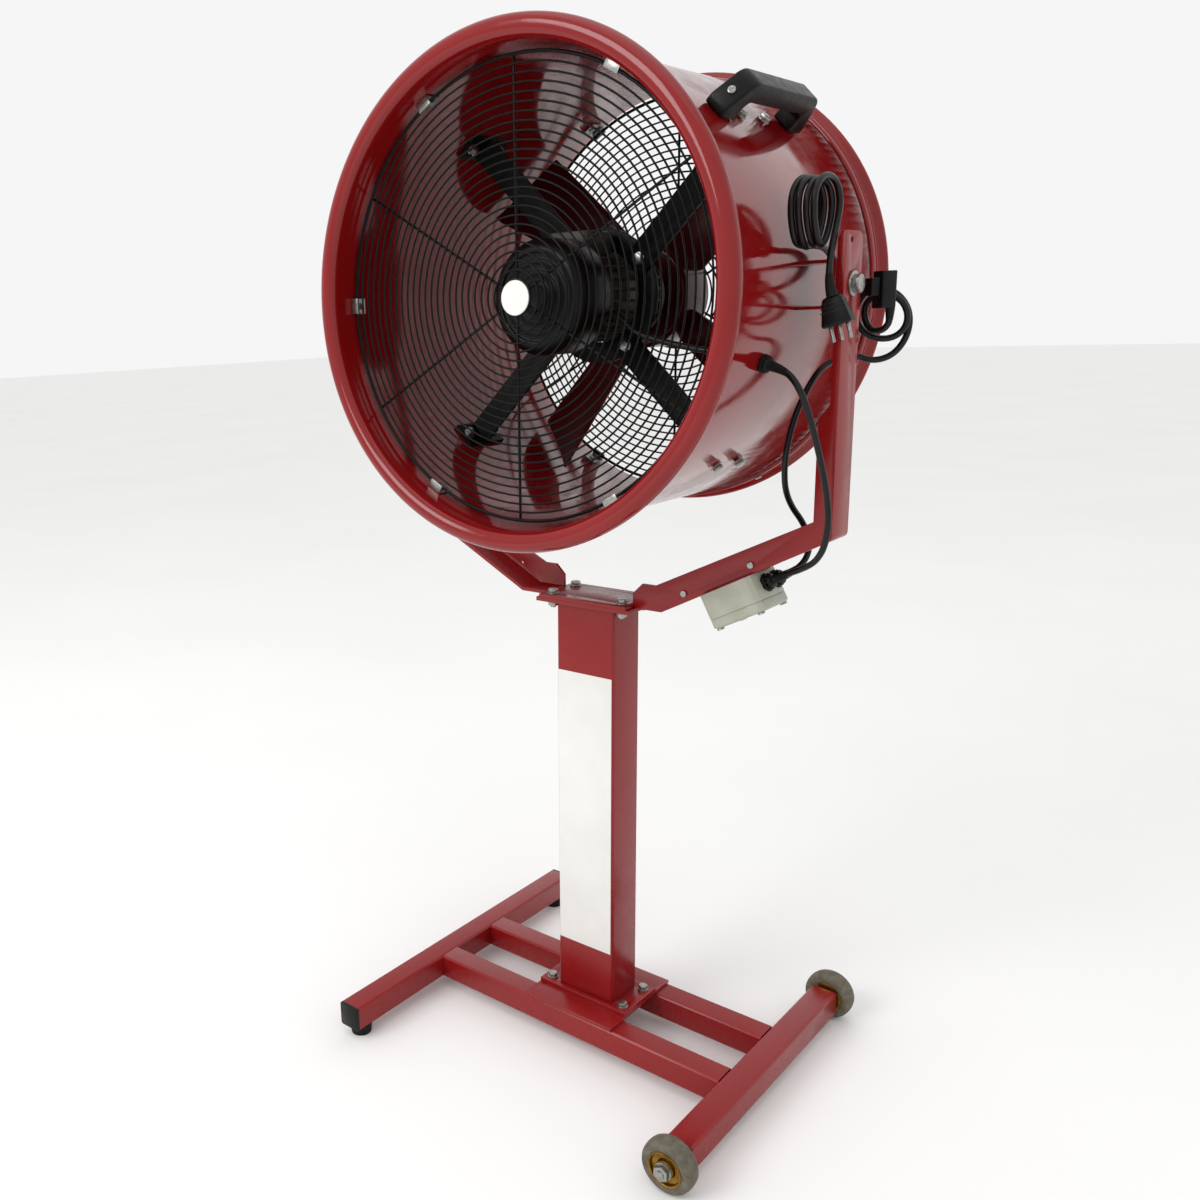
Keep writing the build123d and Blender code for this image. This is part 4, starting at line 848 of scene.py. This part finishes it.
def rod(radius, low, high, sides=32, bevel=0.3):
    """An upright round or hexagonal piece between two heights, its rims softened."""
    bpy.ops.object.select_all(action="DESELECT")
    bpy.ops.mesh.primitive_cylinder_add(vertices=sides, radius=radius * MM, depth=(high - low) * MM,
                                        location=(0, 0, (low + high) / 2 * MM))
    made = bpy.context.object
    bpy.ops.object.transform_apply(location=True)
    return soften(made, bevel)


def corner_radius(across):
    """A hexagon's radius to its corners, from the size across its flats."""
    return across / 2 / math.cos(math.pi / 6)


def hexagon_bolt(grip, across=13, head=5.3, washer=8.5, shank=4, nut=6.5, plate=1.6):
    """A bolt with washers and nut, the head's seat at zero. Plate is a washer's thickness."""
    corner = corner_radius(across)
    top = plate + head
    low = -grip - plate
    return joined([
        rod(washer, 0, plate),
        rod(corner, plate, top, sides=6, bevel=0.5),
        rod(corner - 1.2, top - 0.2, top + 0.3, sides=24, bevel=0.2),
        rod(shank, low - nut - 2.5, plate, sides=20, bevel=0.5),
        rod(corner, low - nut, low, sides=6, bevel=0.5),
        rod(washer, low, -grip),
    ])


def fasteners(model, places, node, body):
    """Zinc-plated copies of one fastener at its places, for one CAD node."""
    return finish_piece(spread(model, places), node + "_zinc", ZINC, body, "zinc", node)


def corners(x, y, z):
    """Four matrices at the corners of a rectangle."""
    return [Matrix.Translation(Vector((i * x, j * y, z)) * MM) for i in (-1, 1) for j in (-1, 1)]


# %% [markdown]
# Four bolts hold the column's foot, four the yoke, three each strut and one each pivot.

# %% Bolts
STRUT_ANGLES = (45, 135, 225, 315)
STRUT_SIDE = -14       # off the radius, to one side
STRUT_WALL_YS = (-30.5, 29.5)
STRUT_RING_Y = -3
STRUT_RING_R = 80
WALL_SEAT_R = DRUM_R - 0.05
PIVOT_SEAT_X = 357.3


def strut_bolt_places():
    """Two through the drum's wall and one into the motor's ring for each strut."""
    places = []
    for angle in STRUT_ANGLES:
        places += [on_drum(angle, y, STRUT_SIDE, WALL_SEAT_R) for y in STRUT_WALL_YS]
        spot = on_drum(angle, STRUT_RING_Y, STRUT_SIDE, STRUT_RING_R).translation / MM
        places.append(matrix_from((1, 0, 0), (0, -1, 0), spot))
    return places


fasteners(hexagon_bolt(grip=11), corners(x=66, y=30, z=68.5), "base_bolts", "stand")
fasteners(hexagon_bolt(grip=11), corners(x=60, y=29.5, z=713), "yoke_bolts", "stand")
fasteners(hexagon_bolt(grip=9.4), strut_bolt_places(), "strut_bolts", "drum")
pivot_places = [matrix_from((0, 1, 0), (side, 0, 0), (side * PIVOT_SEAT_X, 0, PIVOT.z / MM))
                for side in (-1, 1)]
pivot_bolt = hexagon_bolt(grip=14.6, across=19, head=8, washer=15, shank=6, nut=10, plate=2.5)
fasteners(pivot_bolt, pivot_places, "pivot_bolts", "drum")

# %% [markdown]
# The screws have a low dome with a cross cut into it by two bars. The rivets are plain domes.

# %% Screws and rivets
HOOP_FIRST, HOOP_SCREW_Y, HOOP_FACE_R = -61, 201, 306.1
HANDLE_ANGLE, HANDLE_MIDDLE_Y, HANDLE_REACH, HANDLE_FACE_R = 42.3, 5, 96.2, 327.2
HANDLE_TILT = math.atan2(38, 22)
CLIP_YS, CLIP_FACE_R = (-174.6, 203.6), 294
BOX_MIDDLE, BOX_HALF, LID_DEPTH, LID_SCREW = 113, 40, 50, 32
RIVET_PLACES = (45.5, 154.7)


def cross_screw(radius=5, height=2.6):
    """A domed screw head with a cross-shaped recess."""
    dome = rod(radius, 0, height, bevel=1.2)
    for turned_by in (0, math.pi / 2):
        bpy.ops.mesh.primitive_cube_add(size=1, location=(0, 0, height * MM), rotation=(0, 0, turned_by),
                                        scale=(radius * 1.1 * MM, 0.9 * MM, 1.6 * MM))
        bar = bpy.context.object
        alone(dome)
        bpy.ops.object.modifier_add(type="BOOLEAN")
        dome.modifiers[-1].object = bar
        bpy.ops.object.modifier_apply(modifier=dome.modifiers[-1].name)
        bpy.data.objects.remove(bar)
    return dome


def screw_places():
    """The hoop's six screws, the handle's two and one in each guard clip."""
    places = [on_drum(HOOP_FIRST + i * 60, HOOP_SCREW_Y, 0, HOOP_FACE_R) for i in range(6)]
    for side in (-1, 1):
        tilt = Matrix.Rotation(side * HANDLE_TILT, 4, "Y")
        y = HANDLE_MIDDLE_Y + side * HANDLE_REACH
        places.append(on_drum(HANDLE_ANGLE, y, 0, HANDLE_FACE_R) @ tilt)
    places += [on_drum(60 * i, y, 0, CLIP_FACE_R, inward=True) for y in CLIP_YS for i in range(6)]
    return places


fasteners(cross_screw(), screw_places(), "drum_screws", "drum")
lid_places = [matrix_from((0, 1, 0), SLOPE_DOWN, on_slope(BOX_MIDDLE + x, y, LID_DEPTH))
              for x in (-LID_SCREW, LID_SCREW) for y in (-LID_SCREW, LID_SCREW)]
fasteners(cross_screw(), lid_places, "lid_screws", "stand")
rivet_places = [matrix_from((1, 0, 0), (0, -1, 0), on_slope(along, -25, -11.5)) for along in RIVET_PLACES]
fasteners(rod(4.6, 0, 2.4, bevel=1.2), rivet_places, "box_rivets", "stand")

# %% [markdown]
# The axles are welded to the ends of the wheel bar. Each has a collar inside its wheel, and outside a
# washer and a nut on the threaded end.

# %% Axles
BAR_END = 227.5
WASHER_SEAT = 265.3
NUT_SEAT = 267.3
axles = []
for side in (-1, 1):
    end = matrix_from((1, 0, 0), (0, side, 0), (AXLE.x / MM, 0, AXLE.z / MM))
    collar = rod(10, BAR_END, 234.7)
    pin = rod(6, BAR_END, 278, sides=24, bevel=0.8)
    washer = rod(12, WASHER_SEAT, NUT_SEAT)
    nut = rod(11, NUT_SEAT, NUT_SEAT + 8, sides=6, bevel=0.6)
    axles.append(spread(joined([collar, pin, washer, nut]), [end]))
finish_piece(joined(axles), "wheel_axles_zinc", ZINC, "stand", "zinc", "wheel_axles")

# %% [markdown]
# ## The motor
# A cast motor with fins along its body. The cover on its front end is a cowl with three low rings
# raised on its face. The rear end shield is a casting with a boss for the shaft.

# %% Motor cowl and end shield
COWL_FACE_Y = -143.5
COWL_RING_Y = -145
section = [(0, COWL_FACE_Y)]
for r in (14, 28, 42):
    section += [(r, COWL_FACE_Y), (r + 1, COWL_RING_Y), (r + 6, COWL_RING_Y), (r + 7, COWL_FACE_Y)]
section += [
    (56, COWL_FACE_Y), (57, -146.6), (61, -147), (65, -145.6), (74, -135.6), (75, -132), (75, -84.5),
    (73.4, -84), (73.4, -81), (0, -81),
]
cowl = soften(turn(section, steps=72, closed=False), 0.6, angle=30)
finish_piece(cowl, "motor_cowl_pressed", MOULDED_BLACK, "drum", "cowl_black", "motor_cowl")
section = [
    (9.6, 69), (60, 69), (60, 76), (58.4, 78.4), (52, 83), (45, 86.6), (38, 88.6), (30, 89), (24, 89),
    (22, 90.4), (20, 91), (9.6, 91),
]
shield = soften(turn(section, steps=72), 0.5, angle=30)
finish_piece(shield, "motor_end_shield_cast", CAST_GREY, "drum", "motor_grey", "motor_end_shield")

# %% [markdown]
# ## The impeller's hub
# The hub is a cast cup whose open side faces the rear, with ribs from the boss to the rim and a
# central bolt. The blades, rolled sheet pitched 30 degrees, are copied from the CAD above.

# %% Hub and shaft
RIB_COUNT = 8
RIB_SIZE = (0.050, 0.026, 0.004)
SHAFT_R = 9.5
section = [
    (SHAFT_R, 109), (70, 109), (75, 114), (75, 174), (71, 174), (71, 123), (69, 121), (24, 121),
    (22, 123), (22, 172), (20, 174), (SHAFT_R, 174),
]
hub = [soften(turn(section, steps=96), 0.8, angle=30)]
for i in range(RIB_COUNT):
    bpy.ops.object.select_all(action="DESELECT")
    bpy.ops.mesh.primitive_cube_add(size=1, scale=RIB_SIZE)
    bpy.ops.object.transform_apply(scale=True)
    middle = matrix_from((1, 0, 0), (0, 0, 1), (46.5, 133.5, 0))
    rib = spread(soften(bpy.context.object, 1), [middle])
    turned_by = 2 * math.pi * (i + 0.5) / RIB_COUNT
    rib.data.transform(Matrix.Translation(PIVOT) @ Matrix.Rotation(turned_by, 4, "Y"))
    hub.append(rib)
finish_piece(joined(hub), "impeller_hub_cast", BLADE_PAINT, "impeller", "blade_maroon", "impeller_hub")
along_axis = matrix_from((1, 0, 0), (0, 1, 0), (0, 0, PIVOT.z / MM))
shaft = joined([rod(SHAFT_R, 57, 170, sides=40, bevel=0.8), rod(9, 170, 176, sides=6, bevel=0.5)])
finish_piece(spread(shaft, [along_axis]), "motor_shaft_ground", ZINC, "impeller", "zinc", "motor_shaft")

# %% [markdown]
# ## Glands, grommet and plug
# A gland is a hexagon nut with a domed cap that squeezes a rubber ring round the cable. The grommet
# in the drum's wall has the same form. The control box has one more hole, closed by a round plug.

# %% Glands, grommet and blanking plug
FLUTES = 12
PORT_DEPTH = 17        # the box's openings, below the arm
PORT_MOTOR_Y, PORT_MAINS_Y = -5, 22


def gland_body(across, dome, height):
    """A gland along z: a hexagon foot, a fluted dome and a lip round the cable."""
    cap = rod(dome, 4.6, height - 1, bevel=dome * 0.42)
    reach = dome * 0.985 * MM
    flutes = []
    for i in range(FLUTES):
        a = 2 * math.pi * i / FLUTES
        flute = rod(1.1, 5.4, height - dome * 0.5, sides=8)
        flute.data.transform(Matrix.Translation((reach * math.cos(a), reach * math.sin(a), 0)))
        flutes.append(flute)
    foot = rod(corner_radius(across), 0, 5, sides=6, bevel=0.7)
    return joined([foot, cap, rod(5.6, height - 3, height, bevel=0.8)] + flutes)


places = [matrix_from((0, 1, 0), SLOPE_X, on_slope(BOX_MIDDLE + BOX_HALF, y, PORT_DEPTH))
          for y in (PORT_MOTOR_Y, PORT_MAINS_Y)]
glands = spread(gland_body(across=22, dome=10.2, height=14), places)
finish_piece(glands, "cable_glands_domed", MOULDED_BLACK, "stand", "plastic_black", "cable_glands")
grommet = spread(gland_body(across=20, dome=10.4, height=12), [on_drum(-17, -85, 0, 300.2)])
finish_piece(grommet, "drum_grommet_domed", SOFT_BLACK, "drum", "rubber_black", "drum_grommet")
place = matrix_from((0, 1, 0), -SLOPE_X, on_slope(BOX_MIDDLE - BOX_HALF, PORT_MOTOR_Y, PORT_DEPTH))
stopper = spread(rod(8, 0, 4.2, bevel=1.4), [place])
finish_piece(stopper, "box_blanking_plug_cap", MOULDED_BLACK, "stand", "plastic_black", "box_blanking_plug")

# %% [markdown]
# The foot bar stands on two rubber feet, short discs that are a little narrower at the floor.

# %% Rubber feet
FOOT_R = 18
FLOOR_R = 16
FOOT_X, FOOT_Y = -0.278, 0.265
feet = []
for side in (-1, 1):
    foot = rod(FOOT_R, 0, 17.5, sides=48, bevel=0.8)
    for vertex in foot.data.vertices:
        if vertex.co.z < 0.004:
            vertex.co.xy = vertex.co.xy * (FLOOR_R / FOOT_R)
    foot.data.transform(Matrix.Translation((FOOT_X, side * FOOT_Y, 0)))
    feet.append(foot)
finish_piece(joined(feet), "rubber_feet_moulded", SOFT_BLACK, "stand", "rubber_black", "rubber_feet")

# %% [markdown]
# ## Strain reliefs
# Seven of the cables' eight ends have a tapered rubber sleeve with grooves, against kinking. A
# straight cone would part from a bent cable, so the sleeve follows the cable's own line.

# %% Strain reliefs
SLEEVE_STEPS = 14
SLEEVE_SIDES = 20
SLEEVE_END_WALL = 0.5
GROOVE = 0.5


def sleeve(name, line, length, thick):
    """A tapered grooved sleeve along the start of a cable's line. Length and thick in millimetres."""
    passed, gone = [], 0
    for here, there in zip(line, line[1:]):
        passed.append((here, (there - here).normalized(), gone))
        gone += (there - here).length
        if gone > length * MM:
            break
    bpy.ops.object.select_all(action="DESELECT")
    bpy.ops.mesh.primitive_circle_add(vertices=SLEEVE_SIDES, radius=1, fill_type="NOTHING")
    made = bpy.context.object
    circle = [v.co.copy() for v in made.data.vertices]
    verts = []
    for i in range(SLEEVE_STEPS + 1):
        want = length * MM * i / SLEEVE_STEPS
        here, way, start = [spot for spot in passed if spot[2] <= want][-1]
        taper = thick + (CABLE_R / MM + SLEEVE_END_WALL - thick) * (i / SLEEVE_STEPS)
        radius = taper - (GROOVE if i % 2 else 0)
        middle, facing = here + way * (want - start), way.to_track_quat("Z", "Y")
        verts += [middle + facing @ (c * radius * MM) for c in circle]
    faces = []
    for low in range(0, SLEEVE_STEPS * SLEEVE_SIDES, SLEEVE_SIDES):
        high = low + SLEEVE_SIDES
        for j in range(SLEEVE_SIDES):
            k = (j + 1) % SLEEVE_SIDES
            faces.append((low + j, low + k, high + k, high + j))
    ring = range(SLEEVE_SIDES)
    faces += [tuple(reversed(ring)), tuple(SLEEVE_STEPS * SLEEVE_SIDES + j for j in ring)]
    mesh = bpy.data.meshes.new(name)
    mesh.from_pydata(verts, [], faces)
    made.data = mesh
    return soften(made, 0.2, 1, 50)


RELIEFS = [
    ("relief_motor_cable_box", LINES["motor_cable_sheath"], 20, 6.4, "stand"),
    ("relief_motor_cable_drum", LINES["motor_cable_sheath"][::-1], 22, 6.6, "drum"),
    ("relief_mains_box", LINES["mains_lead_sheath"], 20, 6.4, "stand"),
    ("relief_block_below", LINES["mains_lead_sheath"][::-1], 14, 6.0, "stand"),
    ("relief_block_side", LINES["plug_lead_sheath"], 16, 5.8, "stand"),
    ("relief_plug", LINES["plug_lead_sheath"][::-1], 26, 7.0, "stand"),
    ("relief_motor_entry", LINES["motor_lead_sheath"], 20, 6.4, "drum"),
]
for name, line, length, thick, body in RELIEFS:
    finish_piece(sleeve(name, line, length, thick), name, SOFT_BLACK, body, "rubber_black")

# %% [markdown]
# ## The plug
# The plug is moulded round the end of its lead: a body that narrows towards the cable, with ridges
# for the fingers and three round pins.

# %% Plug
PLUG_AT = matrix_from((0.95, 0.1, 0.26), (0.261, 0.060, -0.964), (354, -50, 1126))
PLUG_SIZE = (0.036, 0.024, 0.034)
NECK = 0.62            # width at the cable's end
bpy.ops.object.select_all(action="DESELECT")
bpy.ops.mesh.primitive_cube_add(size=1, scale=PLUG_SIZE, location=(0, 0, PLUG_SIZE[2] / 2))
plug_body = bpy.context.object
bpy.ops.object.transform_apply(location=True, scale=True)
for vertex in plug_body.data.vertices:
    if vertex.co.z < 0.01:
        vertex.co.xy = vertex.co.xy * NECK
parts = [soften(plug_body, 4, 4)]
for i in range(3):
    bpy.ops.object.select_all(action="DESELECT")
    bpy.ops.mesh.primitive_cube_add(size=1, scale=(0.0252 + 0.0026 * i, 0.0172 + 0.0017 * i, 0.0016),
                                    location=(0, 0, 0.007 + 0.005 * i))
    ridge = bpy.context.object
    bpy.ops.object.transform_apply(location=True, scale=True)
    parts.append(soften(ridge, 0.6))
plug = spread(joined(parts), [PLUG_AT])
finish_piece(plug, "mains_plug_moulded", MOULDED_BLACK, "stand", "plastic_black", "mains_plug")
pins = []
for step in (-10, 0, 10):
    pin = rod(2.4, 33, 52, sides=20, bevel=1.0)
    pin.data.transform(Matrix.Translation((step * MM, 0, 0)))
    pins.append(pin)
pins = finish_piece(spread(joined(pins), [PLUG_AT]), "mains_plug_pins", ZINC, "stand", "zinc")

# %% [markdown]

# %% [markdown]
# ## The end
# The view layer is brought up to date.

# %% The end
bpy.context.view_layer.update()
